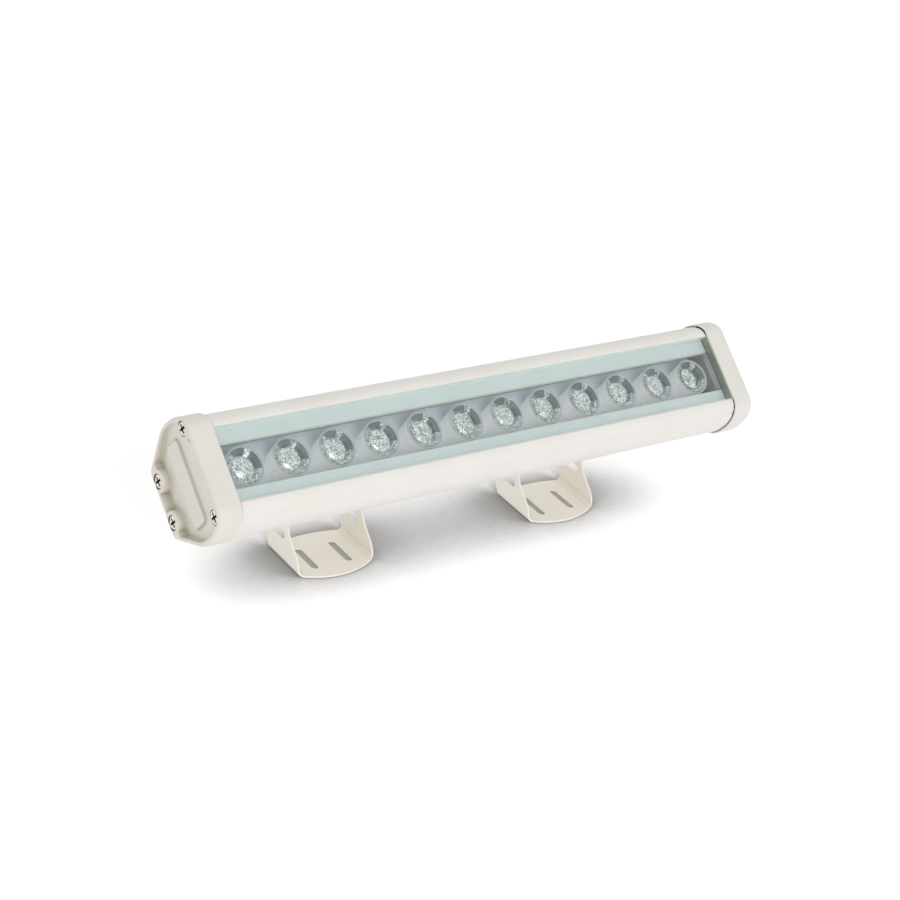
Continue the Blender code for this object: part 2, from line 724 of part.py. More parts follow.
def build_gland(cap, end):
    """The cable inlet on the right cap: a flat boss, and the gland's body, seal and nut."""
    y, z = GLAND_PLACE
    seat = CAP_THICKNESS - GLAND_BOSS_SINK
    rise = [(CAP_CAVITY_DEPTH + 1, GLAND_BOSS_RADIUS), (seat, GLAND_BOSS_RADIUS)]
    boss = turned("gland_boss", rise, ROUND_SIDES, GLAND_PLACE)
    carve(cap, cutter("gland_boss", boss, end), "UNION")
    through = [(x, GLAND_THREAD_RADIUS + GAP) for x in (0, seat + 1)]
    way = turned("gland_hole", through, ROUND_SIDES, GLAND_PLACE)
    carve(cap, cutter("gland_hole_cutter", way, end))

    collar = seat + GAP
    spigot = collar + GLAND_COLLAR + GLAND_SPIGOT
    wall = GLAND_THREAD_RADIUS - GLAND_WALL_CUT
    body = turned("gland_body", [
        (GLAND_START, GLAND_THREAD_RADIUS),
        (collar, GLAND_THREAD_RADIUS),
        (collar, GLAND_FLATS / 2, 6),
        (collar + GLAND_COLLAR, GLAND_FLATS / 2, 6),
        (collar + GLAND_COLLAR, wall),
        (spigot, wall),
        (spigot, GLAND_BORE_RADIUS + EDGE),
        (GLAND_START, GLAND_BORE_RADIUS + EDGE),
    ], ring=True)
    piece("gland_body", body, "dark_plastic", end, (0, y, z))
    nut_start = collar + GLAND_COLLAR + GAP
    nut_end = seat + GLAND_REACH
    nut = turned("gland_nut", [
        (nut_start, GLAND_FLATS / 2, 6),
        (nut_end - GLAND_DOME, GLAND_FLATS / 2, 6),
        (nut_end - 0.35 * GLAND_DOME, GLAND_FLATS / 2 - 0.25 * GLAND_DOME),
        (nut_end, GLAND_FLATS / 2 - 0.7 * GLAND_DOME),
        (nut_end, GLAND_BORE_RADIUS + EDGE),
        (nut_end - GLAND_CROWN, GLAND_BORE_RADIUS + EDGE),
        (nut_end - GLAND_CROWN, wall + GAP),
        (nut_start, wall + GAP),
    ], ring=True)
    piece("gland_nut", nut, "dark_plastic", end, (0, y, z))
    seal = turned("gland_seal", [
        (spigot + GAP, wall),
        (nut_end - GLAND_CROWN - GAP, wall),
        (nut_end - GLAND_CROWN - GAP, GLAND_BORE_RADIUS),
        (spigot + GAP, GLAND_BORE_RADIUS),
    ], 20, ring=True)
    piece("gland_seal", seal, "black_rubber", end, (0, y, z))


def folded_sheet(name, sections):
    """A bent sheet through (outer x, outer z, inner x, inner z, front y, back y) sections."""
    loops = []
    for outer_x, outer_z, inner_x, inner_z, front, back in sections:
        loops.append([
            (outer_x, front, outer_z),
            (outer_x, back, outer_z),
            (inner_x, back, inner_z),
            (inner_x, front, inner_z),
        ])
    return loft(name, loops)


def curve_at(points, height):
    """The y where a Bezier curve through (y, height) control points passes a height."""
    low, high = 0.0, 1.0
    line = points
    for _ in range(24):
        share = (low + high) / 2
        line = points
        while len(line) > 1:
            line = [tuple(a + (b - a) * share for a, b in zip(p, q)) for p, q in zip(line, line[1:])]
        if line[0][1] < height:
            low = share
        else:
            high = share
    return line[0][0]


def arm_front(height):
    """The front edge of a base arm: a smooth curve up to the round end."""
    if height >= PIVOT_HEIGHT:
        return PIVOT_BEHIND_SLOTS - math.sqrt(max(0.0, ARM_END_RADIUS**2 - (height - PIVOT_HEIGHT)**2))
    end = (PIVOT_BEHIND_SLOTS - ARM_END_RADIUS, PIVOT_HEIGHT)
    return curve_at([(-ARM_FRONT, BEND_RADIUS), ARM_FRONT_BULGE, ARM_FRONT_WAIST, end], height)


def arm_back(height):
    """The back edge of a base arm: a smooth curve up to the round end."""
    if height >= PIVOT_HEIGHT:
        return PIVOT_BEHIND_SLOTS + math.sqrt(max(0.0, ARM_END_RADIUS**2 - (height - PIVOT_HEIGHT)**2))
    end = (PIVOT_BEHIND_SLOTS + ARM_END_RADIUS, PIVOT_HEIGHT)
    return curve_at([(ARM_BACK, BEND_RADIUS), ARM_BACK_CURVE, end], height)


def foot_edge(x, middle, corner):
    """How far a bowed edge of the foot is from the slots' middle: an arc through its corners."""
    bow = middle - corner
    half_width = BASE_HALF_WIDTH - BEND_RADIUS
    radius = (half_width**2 + bow**2) / (2 * bow)
    return middle - radius + math.sqrt(max(0.0, radius**2 - x**2))


def base_bracket():
    """A base bracket, drawn about its pivot axis."""
    top = PIVOT_HEIGHT + ARM_END_RADIUS
    heights = [top - ARM_END_RADIUS * (1 - math.cos(math.radians(8 + 11 * step))) for step in range(8)]
    heights += [BEND_RADIUS + (PIVOT_HEIGHT - BEND_RADIUS) * (1 - step / 11) for step in range(1, 11)]
    half = [
        (BASE_HALF_WIDTH, z, BASE_HALF_WIDTH - SHEET, z, arm_front(z), arm_back(z)) for z in heights
    ]
    for step in range(BEND_STEPS + 1):
        share = step / BEND_STEPS
        turn = math.radians(90 * share)
        x, z = BASE_HALF_WIDTH - BEND_RADIUS, BEND_RADIUS
        inner = BEND_RADIUS - SHEET
        half.append((
            x + BEND_RADIUS * math.cos(turn), z - BEND_RADIUS * math.sin(turn),
            x + inner * math.cos(turn), z - inner * math.sin(turn),
            -ARM_FRONT + (ARM_FRONT - BASE_FRONT_CORNER) * share,
            ARM_BACK + (BASE_BACK_CORNER - ARM_BACK) * share,
        ))
    for step in range(1, 5):
        x = (BASE_HALF_WIDTH - BEND_RADIUS) * (1 - step / 4.5)
        front = -foot_edge(x, BASE_FRONT, BASE_FRONT_CORNER)
        half.append((x, 0, x, SHEET, front, foot_edge(x, BASE_BACK, BASE_BACK_CORNER)))
    left = [(-a, b, -c, d, front, back) for a, b, c, d, front, back in reversed(half)]
    sections = []
    for a, b, c, d, front, back in half + left:
        sections.append((
            a, b - PIVOT_HEIGHT, c, d - PIVOT_HEIGHT,
            front - PIVOT_BEHIND_SLOTS, back - PIVOT_BEHIND_SLOTS,
        ))
    return folded_sheet("base_bracket", sections)


def slot_outline(length, width, along_first):
    """A slot with round ends about the origin."""
    reach_out = (length - width) / 2
    line = []
    for i in range(2 * 6 + 2):
        side = 1 if i < 7 else -1
        turn = math.radians(-90 + 30 * (i if i < 7 else i - 1))
        point = (side * reach_out + width / 2 * math.cos(turn), width / 2 * math.sin(turn))
        line.append(point if along_first else (point[1], point[0]))
    return line


def build_foot(name, x):
    """One base bracket with its pivot bolt and nut."""
    foot = axis_empty(f"{name}_foot", BAR_X + x, PIVOT_Y, PIVOT_HEIGHT)
    bracket = piece(f"{name}_base_bracket", base_bracket(), "bracket_paint", foot)
    for side in (-1, 1):
        outline = slot_outline(FOOT_SLOT_LENGTH, FOOT_SLOT_WIDTH, along_first=False)
        loops = []
        for z in (-PIVOT_HEIGHT - 1, -PIVOT_HEIGHT + SHEET + 1):
            loops.append([(side * FOOT_SLOT_X + a, b - PIVOT_BEHIND_SLOTS, z) for a, b in outline])
        carve(bracket, cutter(f"{name}_foot_slot_{side + 2}", loft("foot_slot", loops), foot))
    arm_slot = slot_outline(ARM_SLOT_LENGTH, FOOT_SLOT_WIDTH, along_first=True)
    place = (ARM_SLOT_Y - PIVOT_BEHIND_SLOTS, ARM_SLOT_HEIGHT - PIVOT_HEIGHT)
    wide = BASE_HALF_WIDTH + 1
    slots = [[(x_at, place[0] + a, place[1] + b) for a, b in arm_slot] for x_at in (-wide, wide)]
    carve(bracket, cutter(f"{name}_arm_slots", loft("arm_slots", slots), foot))
    holes = turned("pivot_holes", [(-wide, BOLT_HOLE), (wide, BOLT_HOLE)], HOLE_SIDES)
    carve(bracket, cutter(f"{name}_pivot_holes", holes, foot))

    outside = BASE_HALF_WIDTH + GAP
    flat = BOLT_ACROSS_FLATS / 2
    bolt = turned("pivot_bolt", [
        (-outside - BOLT_HEAD_HEIGHT, flat - EDGE),
        (-outside - BOLT_HEAD_HEIGHT + EDGE, flat, 6),
        (-outside, flat, 6),
        (-outside, BOLT_RADIUS),
        (outside + NUT_HEIGHT + BOLT_TAIL - EDGE, BOLT_RADIUS),
        (outside + NUT_HEIGHT + BOLT_TAIL, BOLT_RADIUS - EDGE),
    ], BOLT_SIDES)
    piece(f"{name}_pivot_bolt", bolt, "zinc_steel", foot)
    piece(f"{name}_pivot_nut", nut_mesh("pivot_nut", outside), "zinc_steel", foot)


def nut_mesh(name, start):
    """A hexagon nut about the x axis, from start outward."""
    flat = BOLT_ACROSS_FLATS / 2
    return turned(name, [
        (start, flat - EDGE),
        (start + EDGE, flat, 6),
        (start + NUT_HEIGHT - EDGE, flat, 6),
        (start + NUT_HEIGHT, flat - EDGE),
        (start + NUT_HEIGHT, BOLT_HOLE),
        (start, BOLT_HOLE),
    ], BOLT_SIDES, ring=True)


def build_saddle(name, x, tilt):
    """The inverted U that carries the bar, with the bolt and nut that hold it in the T-slot."""
    place = axis_empty(f"{name}_saddle_axis", x, 0, 0)
    place.parent = tilt
    inner = BEND_RADIUS - SADDLE_SHEET
    half = []
    for step in range(7):
        turn = math.radians(82 - 12 * step)
        z = -SADDLE_HALF_DEPTH * math.sin(turn)
        wide = SADDLE_HALF_DEPTH * math.cos(turn)
        half.append((SADDLE_HALF_WIDTH, z, SADDLE_HALF_WIDTH - SADDLE_SHEET, z, -wide, wide))
    for step in range(BEND_STEPS + 1):
        turn = math.radians(90 * step / BEND_STEPS)
        bend_x, bend_z = SADDLE_HALF_WIDTH - BEND_RADIUS, PLATE_OUTER - BEND_RADIUS
        half.append((
            bend_x + BEND_RADIUS * math.cos(turn), bend_z + BEND_RADIUS * math.sin(turn),
            bend_x + inner * math.cos(turn), bend_z + inner * math.sin(turn),
            -SADDLE_HALF_DEPTH, SADDLE_HALF_DEPTH,
        ))
    left = [(-a, b, -c, d, front, back) for a, b, c, d, front, back in reversed(half)]
    saddle = piece(f"{name}_saddle", folded_sheet("saddle", half + left), "bracket_paint", place)
    wide = SADDLE_HALF_WIDTH + 1
    holes = turned("saddle_holes", [(-wide, BOLT_HOLE), (wide, BOLT_HOLE)], HOLE_SIDES)
    carve(saddle, cutter(f"{name}_saddle_holes", holes, place))
    through = [(PLATE_OUTER - 2 * SADDLE_SHEET, BOLT_HOLE), (PLATE_OUTER + 1, BOLT_HOLE)]
    bolt_hole = stood_up("saddle_bolt_hole", through, HOLE_SIDES)
    carve(saddle, cutter(f"{name}_saddle_bolt_hole", bolt_hole, place))

    head_top = PIVOT_BELOW_GLASS + SLOT_ROOF - GAP
    head_foot = head_top - BOLT_HEAD_HEIGHT
    nut_top = PLATE_OUTER - SADDLE_SHEET - GAP
    bolt = stood_up("rail_bolt", [
        (nut_top - NUT_HEIGHT - BOLT_TAIL, BOLT_RADIUS - EDGE),
        (nut_top - NUT_HEIGHT - BOLT_TAIL + EDGE, BOLT_RADIUS),
        (head_foot, BOLT_RADIUS),
        (head_foot, BOLT_ACROSS_FLATS / 2, 6),
        (head_top, BOLT_ACROSS_FLATS / 2, 6),
    ], BOLT_SIDES)
    piece(f"{name}_rail_bolt", bolt, "zinc_steel", place)
    nut = nut_mesh("rail_nut", -nut_top)
    piece(f"{name}_rail_nut", nut, "zinc_steel", place, turn=(0, math.pi / 2, 0))


def main():
    """Build the light."""
    clear_scene()
    tilt = axis_empty("tilt_axis", BAR_X, PIVOT_Y, PIVOT_HEIGHT, TILT)
    build_housing(tilt)
    build_light_engine(tilt)
    build_driver(tilt)
    for side in (-1, 1):
        build_cap(side, tilt)
    for name, x in (("left", -BRACKET_X), ("right", BRACKET_X)):
        build_foot(name, x)
        build_saddle(name, x, tilt)


main()
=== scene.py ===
"""Looks of a short LED wall washer: a powder-coated bar on two brackets that tilt and slide.

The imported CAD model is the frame. Each part that shows is made again here as a finer mesh in the
same place, and dressed. Sizes are in millimetres and become metres where a mesh is made. The bar
is drawn in its own frame: x along the bar, y to its upper edge, z out of the glass.
"""

import logging
import math
from dataclasses import dataclass
from enum import Enum
from typing import Callable, NamedTuple, Optional, Sequence, Union

import bmesh
import bpy
from mathutils import Matrix, Vector


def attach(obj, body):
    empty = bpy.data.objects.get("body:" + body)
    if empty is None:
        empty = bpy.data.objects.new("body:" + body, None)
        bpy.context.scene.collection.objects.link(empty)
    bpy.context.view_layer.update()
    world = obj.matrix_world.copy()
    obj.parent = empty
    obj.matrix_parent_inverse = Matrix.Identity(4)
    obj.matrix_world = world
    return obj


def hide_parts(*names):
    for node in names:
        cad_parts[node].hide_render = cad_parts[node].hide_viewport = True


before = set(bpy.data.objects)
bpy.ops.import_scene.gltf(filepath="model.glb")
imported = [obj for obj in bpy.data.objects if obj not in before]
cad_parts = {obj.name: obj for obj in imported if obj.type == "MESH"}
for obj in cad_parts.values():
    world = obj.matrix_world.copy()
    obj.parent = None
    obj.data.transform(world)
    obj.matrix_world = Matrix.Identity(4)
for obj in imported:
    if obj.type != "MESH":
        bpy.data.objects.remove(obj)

LOG = logging.getLogger("wall_washer")
MM = 0.001
# Degrees between two faces above which their edge stays sharp.
SHARP = 38.0
# Where a patch of noise starts and where it is full, and how far roughness strays.
PATCH_EDGE = (0.35, 0.65)
ROUGHNESS_WANDER = 0.05
CUT, JOIN = "DIFFERENCE", "UNION"
# A quarter round: how far along and how far still to go, as shares of its radius.
QUARTER = ((0.0, 1.0), (0.07, 0.62), (0.29, 0.29), (0.62, 0.07), (1.0, 0.0))

Point = tuple[float, float]
Outline = list[Point]
Loop = list[tuple[float, float, float]]
Colour = tuple[float, float, float, float]
Mesh = bpy.types.Mesh
Tree = bpy.types.NodeTree
Node = bpy.types.Node
Socket = bpy.types.NodeSocket


class Side(Enum):
    """The two ends of the bar, as the camera sees them."""

    LEFT = -1
    RIGHT = 1

    @property
    def word(self) -> str:
        """The word that the CAD's names start with."""
        return self.name.lower()


class Body(Enum):
    """The bodies of the CAD model that pieces ride on."""

    LEFT_FOOT = "left_foot"
    LEFT_CARRIER = "left_carrier"
    LAMP = "lamp"
    RIGHT_CARRIER = "right_carrier"
    RIGHT_FOOT = "right_foot"


# ---- Materials ------------------------------------------------------------------------------


def linear(code: str) -> Colour:
    """Turn an sRGB hex colour, such as "#E6E2DB", into Blender's linear one with full alpha."""
    parts = [int(code[i:i + 2], 16) / 255 for i in (1, 3, 5)]
    return (*(p / 12.92 if p <= 0.04045 else ((p + 0.055) / 1.055) ** 2.4 for p in parts), 1.0)


def feed(node: Node, key: Union[str, int], value: object) -> None:
    """Set a node's input, or link it to what feeds it.

    Args:
        node: The node.
        key: The input's name or number.
        value: A plain value, an output socket, or a node, which stands for its first output.
    """
    if isinstance(value, bpy.types.Node):
        value = value.outputs[0]
    if isinstance(value, bpy.types.NodeSocket):
        node.id_data.links.new(value, node.inputs[key])
    else:
        node.inputs[key].default_value = value


def add_node(tree: Tree, kind: str, settings: Optional[dict] = None) -> Node:
    """Add one node with its settings and links.

    Args:
        tree: The node tree that gets the node.
        kind: Blender's name for the kind of node.
        settings: Values by property name in lower case, and by input name or number what feeds
            the input.

    Returns:
        The new node.
    """
    node = tree.nodes.new(kind)
    for key, value in (settings or {}).items():
        if isinstance(key, str) and key.islower():
            setattr(node, key, value)
        else:
            feed(node, key, value)
    return node


def ranged(tree: Tree, value: object, start: float, end: float, low: float, high: float) -> Node:
    """Map a value from the range start to end onto the range low to high."""
    return add_node(tree, "ShaderNodeMapRange", {
        "From Min": start, "From Max": end, "To Min": low, "To Max": high, "Value": value})


def reckoned(tree: Tree, operation: str, first: object, second: object) -> Node:
    """Work out a number from two others."""
    return add_node(tree, "ShaderNodeMath", {"operation": operation, 0: first, 1: second})


def noise(tree: Tree, size: float, detail: float, twist: float = 0.0) -> Node:
    """Random patches, so many millimetres wide, that stay in place on the object."""
    place = add_node(tree, "ShaderNodeTexCoord").outputs["Object"]
    return add_node(tree, "ShaderNodeTexNoise", {
        "Scale": 1000 / size, "Detail": detail, "Distortion": twist, "Vector": place})


def tinted(tree: Tree, amount: Node, first: object, second: Colour) -> Socket:
    """Blend a colour with a second one."""
    return add_node(tree, "ShaderNodeMix", {
        "data_type": "RGBA", 0: amount, 6: first, 7: second}).outputs[2]


def bumped(tree: Tree, shader: Node, height: Node, depth: float) -> None:
    """Let a shader's surface rise and fall by so many millimetres."""
    feed(shader, "Normal", add_node(tree, "ShaderNodeBump", {
        "Strength": 1.0, "Distance": depth * MM, "Height": height}))


def mixed(tree: Tree, amount: object, first: Node, second: Node) -> Node:
    """Mix two shaders."""
    return add_node(tree, "ShaderNodeMixShader", {0: amount, 1: first, 2: second})


def added(tree: Tree, first: Node, second: Node) -> Node:
    """Add two shaders."""
    return add_node(tree, "ShaderNodeAddShader", {0: first, 1: second})


@dataclass(frozen=True)
class Finish:
    """What all finishes share: a name, a colour, and a material that is drawn on first use."""

    name: str
    colour: str
    roughness: float

    def material(self) -> bpy.types.Material:
        """Find the finish's material, or draw it.

        Returns:
            The material, which all pieces of this finish share.
        """
        found = bpy.data.materials.get(self.name)
        if found:
            return found
        made = bpy.data.materials.new(self.name)
        made.use_nodes = True
        shader = made.node_tree.nodes["Principled BSDF"]
        feed(shader, "Base Color", linear(self.colour))
        feed(shader, "Roughness", self.roughness)
        self.draw(made.node_tree, shader)
        return made

    def draw(self, tree: Tree, shader: Node) -> None:
        """Draw the finish's pattern and set the shader; each finish has its own."""
        raise NotImplementedError

    def mottled(self, tree: Tree, other: str, size: float, spread: float) -> Socket:
        """The finish's colour with some of another in soft patches, so many millimetres wide."""
        amount = ranged(tree, noise(tree, size, 3.0), *PATCH_EDGE, 0.0, spread)
        return tinted(tree, amount, linear(self.colour), linear(other))

    def relief(self, tree: Tree, shader: Node, size: float, depth: float) -> None:
        """Press a fine random relief into the surface, and let it vary the roughness a little.

        Args:
            tree: The material's node tree.
            shader: The shader that gets the normal and the roughness.
            size: Width of the relief's dimples in millimetres.
            depth: Their depth in millimetres.
        """
        dimples = noise(tree, size, 2.0)
        bumped(tree, shader, dimples, depth)
        low, high = self.roughness - ROUGHNESS_WANDER, self.roughness + ROUGHNESS_WANDER
        feed(shader, "Roughness", ranged(tree, dimples, 0.0, 1.0, low, high))


@dataclass(frozen=True)
class PowderCoat(Finish):
    """Polyester powder coat, sprayed on dry and baked."""

    shade: str
    # recess is the colour painted as shade in inner corners, reach how far that painted shade
    # reaches in millimetres, shade_between the occlusion where it starts and where it is full.
    recess: str = "#B9B39D"
    reach: float = 5.0
    shade_between: Point = (0.85, 0.35)
    peel: float = 1.3
    peel_depth: float = 0.006
    cloud: float = 28.0
    index: float = 1.48

    def draw(self, tree: Tree, shader: Node) -> None:
        """The powder flows out to a satin film with faint orange peel, and no edge is quite sharp.

        Inner corners, found by ambient occlusion, are painted darker in the recess colour as shade.
        """
        # Painted shade: the recess colour where the surface is occluded within reach.
        room = add_node(tree, "ShaderNodeAmbientOcclusion", {
            "Distance": self.reach * MM, "samples": 3, "only_local": True})
        thin = ranged(tree, room.outputs["AO"], *self.shade_between, 0.0, 1.0)
        film = self.mottled(tree, self.shade, self.cloud, 0.5)
        feed(shader, "Base Color", tinted(tree, thin, film, linear(self.recess)))
        self.relief(tree, shader, self.peel, self.peel_depth)
        feed(shader, "IOR", self.index)


@dataclass(frozen=True)
class PlatedMetal(Finish):
    """Steel, forged or rolled, with a bright zinc plating or a polish."""

    shade: str
    grain: float
    depth: float = 0.002
    cloud: float = 4.0

    def draw(self, tree: Tree, shader: Node) -> None:
        """Metal with soft clouds, and fine marks from barrel plating that blur the highlight.

        The marks are really a few hundredths of a millimetre wide and are drawn coarser.
        """
        feed(shader, "Base Color", self.mottled(tree, self.shade, self.cloud, 0.6))
        self.relief(tree, shader, self.grain, self.depth)
        feed(shader, "Metallic", 1.0)


@dataclass(frozen=True)
class Moulded(Finish):
    """Plastic or rubber as it leaves the mould, or a dull solder mask."""

    shade: str
    grain: float
    index: float = 1.5
    depth: float = 0.004
    cloud: float = 9.0

    def draw(self, tree: Tree, shader: Node) -> None:
        """The mould's spark-eroded texture gives an even, fine grain with a soft sheen.

        The texture is really about 0.05 mm wide and is drawn coarser.
        """
        feed(shader, "Base Color", self.mottled(tree, self.shade, self.cloud, 0.5))
        self.relief(tree, shader, self.grain, self.depth)
        feed(shader, "IOR", self.index)


@dataclass(frozen=True)
class ClearMoulded(Finish):
    """Clear or milky plastic, moulded with polished faces, that lets lamps shine through."""

    clear: float = 1.0
    index: float = 1.49
    lets_light: float = 0.85
    wave: float = 3.0
    depth: float = 0.004

    def draw(self, tree: Tree, shader: Node) -> None:
        """It bends what lies behind it; slow flow marks in the plastic make its glints uneven."""
        self.relief(tree, shader, self.wave, self.depth)
        feed(shader, "IOR", self.index)
        feed(shader, "Transmission Weight", self.clear)
        shadow = add_node(tree, "ShaderNodeLightPath").outputs["Is Shadow Ray"]
        amount = reckoned(tree, "MULTIPLY", shadow, self.lets_light)
        through = add_node(tree, "ShaderNodeBsdfTransparent", {"Color": linear(self.colour)})
        both = mixed(tree, amount, shader, through)
        feed(tree.nodes["Material Output"], "Surface", both)


@dataclass(frozen=True)
class MilkyMoulded(ClearMoulded):
    """Milky plastic with a faint painted glow, so that it looks pale even in the shade."""

    painted_glow: float = 0.15

    def draw(self, tree: Tree, shader: Node) -> None:
        """It glows faintly in its own colour by emission: painted light, not a lamp."""
        super().draw(tree, shader)
        feed(shader, "Emission Color", linear(self.colour))
        feed(shader, "Emission Strength", self.painted_glow)


@dataclass(frozen=True)
class BrightOptic(Finish):
    """Clear acrylic optic, moulded and polished. Its flank reflects all light that comes in."""

    shade: str
    streak: float
    twist: float = 1.6
    depth: float = 0.12
    contrast: Point = (0.38, 0.62)

    def draw(self, tree: Tree, shader: Node) -> None:
        """Metal with bright and dark streaks: a painted reflection of the flank, which from the
        front looks like crumpled silver.
        """
        folds = noise(tree, self.streak, 3.0, self.twist)
        amount = ranged(tree, folds, *self.contrast, 0.0, 1.0)
        blend = tinted(tree, amount, linear(self.shade), linear(self.colour))
        feed(shader, "Base Color", blend)
        bumped(tree, shader, folds, self.depth)
        feed(shader, "Metallic", 1.0)


@dataclass(frozen=True)
class GroundGlass(Finish):
    """The ground edge of a float glass pane, seen through its face."""

    mirrored: float
    painted_glow: float

    def draw(self, tree: Tree, shader: Node) -> None:
        """From inside the pane the edge mirrors its ledge, greener and duller for the longer way.

        The edge also glows faintly by emission, which is painted light.
        """
        tint = {"Color": linear(self.colour)}
        through = add_node(tree, "ShaderNodeBsdfTransparent", tint)
        mirror = add_node(tree, "ShaderNodeBsdfGlossy", {**tint, "Roughness": self.roughness})
        glow = add_node(tree, "ShaderNodeEmission", {**tint, "Strength": self.painted_glow})
        both = mixed(tree, self.mirrored, through, added(tree, mirror, glow))
        tree.nodes.remove(shader)
        feed(tree.nodes["Material Output"], "Surface", both)


@dataclass(frozen=True)
class FloatGlass(Finish):
    """Tempered float glass. Its iron tints what is seen through it a pale green."""

    index: float = 1.52

    def draw(self, tree: Tree, shader: Node) -> None:
        """A flat, polished pane shows what is behind it in place, and mirrors more at a slant."""
        slant = add_node(tree, "ShaderNodeLayerWeight", {"Blend": 0.5}).outputs["Facing"]
        head_on = ((self.index - 1) / (self.index + 1)) ** 2
        gloss = ranged(tree, reckoned(tree, "POWER", slant, 5.0), 0.0, 1.0, head_on, 1.0)
        through = add_node(tree, "ShaderNodeBsdfTransparent", {"Color": linear(self.colour)})
        mirror = add_node(tree, "ShaderNodeBsdfGlossy", {"Roughness": self.roughness})
        both = mixed(tree, gloss, through, mirror)
        tree.nodes.remove(shader)
        feed(tree.nodes["Material Output"], "Surface", both)


# In each coat the colour after the mottle's shade is the painted shade of its recesses, and the
# number after it how far that painted shade reaches in millimetres.
HOUSING_COAT = PowderCoat("powder_coat_cream", "#E9E6E1", 0.42, "#E3DFD9", "#E2DED7", 1.5)
# The ledges' inner walls are painted darker as the shadow under the ledges.
HOUSING_LEDGE_SHADE = PowderCoat(
    "powder_coat_cream_inside", "#9DA296", 0.5, "#92978B", "#83887D", 1.5)
CAP_COAT = PowderCoat("powder_coat_cream_casting", "#E3DFD7", 0.45, "#DCD7CD")
RIGHT_CAP_COAT = PowderCoat("powder_coat_cream_casting_grey", "#E2E0D9", 0.45, "#DAD9D0")
# The bare pad's flanks are painted darker as shade.
CAP_PAD_FLANK_SHADE = PowderCoat("powder_coat_cream_crease", "#C4BCAF", 0.5, "#BAB2A4")
BRACKET_COAT = PowderCoat("powder_coat_beige_sheet", "#F7F2E8", 0.44, "#F1EBDF", "#BFB8A3", 4.0)
STAINLESS = PlatedMetal("stainless_steel_screw", "#DEDAD2", 0.2, "#B4B0A8", 0.35)
# The cross recess of the screws is painted dark as shade.
SCREW_CROSS_SHADE = PlatedMetal("stainless_steel_recess", "#34322F", 0.55, "#262523", 0.35)
# The screw seats are painted dark as the shade round each screw head.
SCREW_SEAT_SHADE = PlatedMetal("screw_seat_painted_shade", "#67645C", 0.6, "#55524B", 0.3)
ZINC = PlatedMetal("zinc_plated_steel", "#C8CBCB", 0.34, "#A9ADB0", 0.5)
GLASS_FACE = FloatGlass("float_glass_face", "#F8FCFC", 0.01)
# The last number of each ground edge is its painted glow.
GLASS_EDGE = GroundGlass("float_glass_ground_edge", "#F0F6F3", 0.25, 0.6, 0.27)
GLASS_END = GroundGlass("float_glass_ground_end", "#B9C6BA", 0.3, 0.45, 0.26)
SILICONE = Moulded("silicone_rubber_white", "#E4E6E3", 0.5, "#DBDEDB", 0.7, 1.41)
SEALANT = Moulded("silicone_sealant_grey", "#A5A999", 0.5, "#989C8C", 0.5, 1.41)
BLACK_RUBBER = Moulded("epdm_rubber_black", "#232423", 0.75, "#2B2B2A", 0.6)
NYLON = Moulded("polyamide_black", "#242526", 0.45, "#2C2D2E", 0.5, 1.53)
ACRYLIC = ClearMoulded("acrylic_optic", "#FBFCFC", 0.04)
# The optic's window and ring are metal with painted bright and dark streaks, which stand for the
# reflection in its flank.
ACRYLIC_FRONT = BrightOptic("acrylic_optic_front", "#FDF6F5", 0.12, "#9C9E9C", 1.6)
ACRYLIC_RING = BrightOptic("acrylic_optic_ring", "#E6E5E4", 0.12, "#747876", 1.1)
# The optic's face in fixed sectors is painted dark as reflection.
ACRYLIC_DARK_REFLECTION = Moulded("acrylic_optic_deep", "#767D7E", 0.12, "#4C5355", 1.0, 1.49, 0.04)
# The milky holders carry a faint painted glow.
MILKY = MilkyMoulded("polycarbonate_milky", "#F1EEED", 0.38, 0.2, 1.58, 0.8)
# A darker copy of the milky plastic without the glow, for the holders' rims: painted shade.
MILKY_RIM_SHADE = ClearMoulded("polycarbonate_milky_rim", "#BEBFC1", 0.3, 0.2, 1.58, 0.8)
SOLDER_MASK = Moulded("solder_mask_white", "#F1F4FC", 0.42, "#E8ECF8", 0.3)
LED_BODY = Moulded("led_housing_white", "#F0EFEA", 0.4, "#E6E5E0", 0.3)
PHOSPHOR = Moulded("phosphor_silicone", "#E3D08A", 0.25, "#D9C57C", 0.5, 1.41)
GREEN_BOARD = Moulded("glass_epoxy_green", "#1F6B3C", 0.4, "#195A32", 0.6)
FERRITE = Moulded("driver_part_dark", "#2B2B2F", 0.5, "#333338", 0.5)


# ---- Outlines -------------------------------------------------------------------------------


def polar(centre: Point, radius: float, turn: float) -> Point:
    """The point at a distance and an angle in radians from a centre."""
    return centre[0] + radius * math.cos(turn), centre[1] + radius * math.sin(turn)


def shifted(outline: Outline, across: float, along: float) -> Outline:
    """An outline moved on its two axes."""
    return [(a + across, b + along) for a, b in outline]


def scaled(outline: Outline, scale: float) -> Outline:
    """An outline made larger or smaller about the origin."""
    return [(a * scale, b * scale) for a, b in outline]


def circle(centre: Point, radius: float, count: int = 48) -> Outline:
    """A round outline about a centre."""
    return [polar(centre, radius, 2 * math.pi * i / count) for i in range(count)]


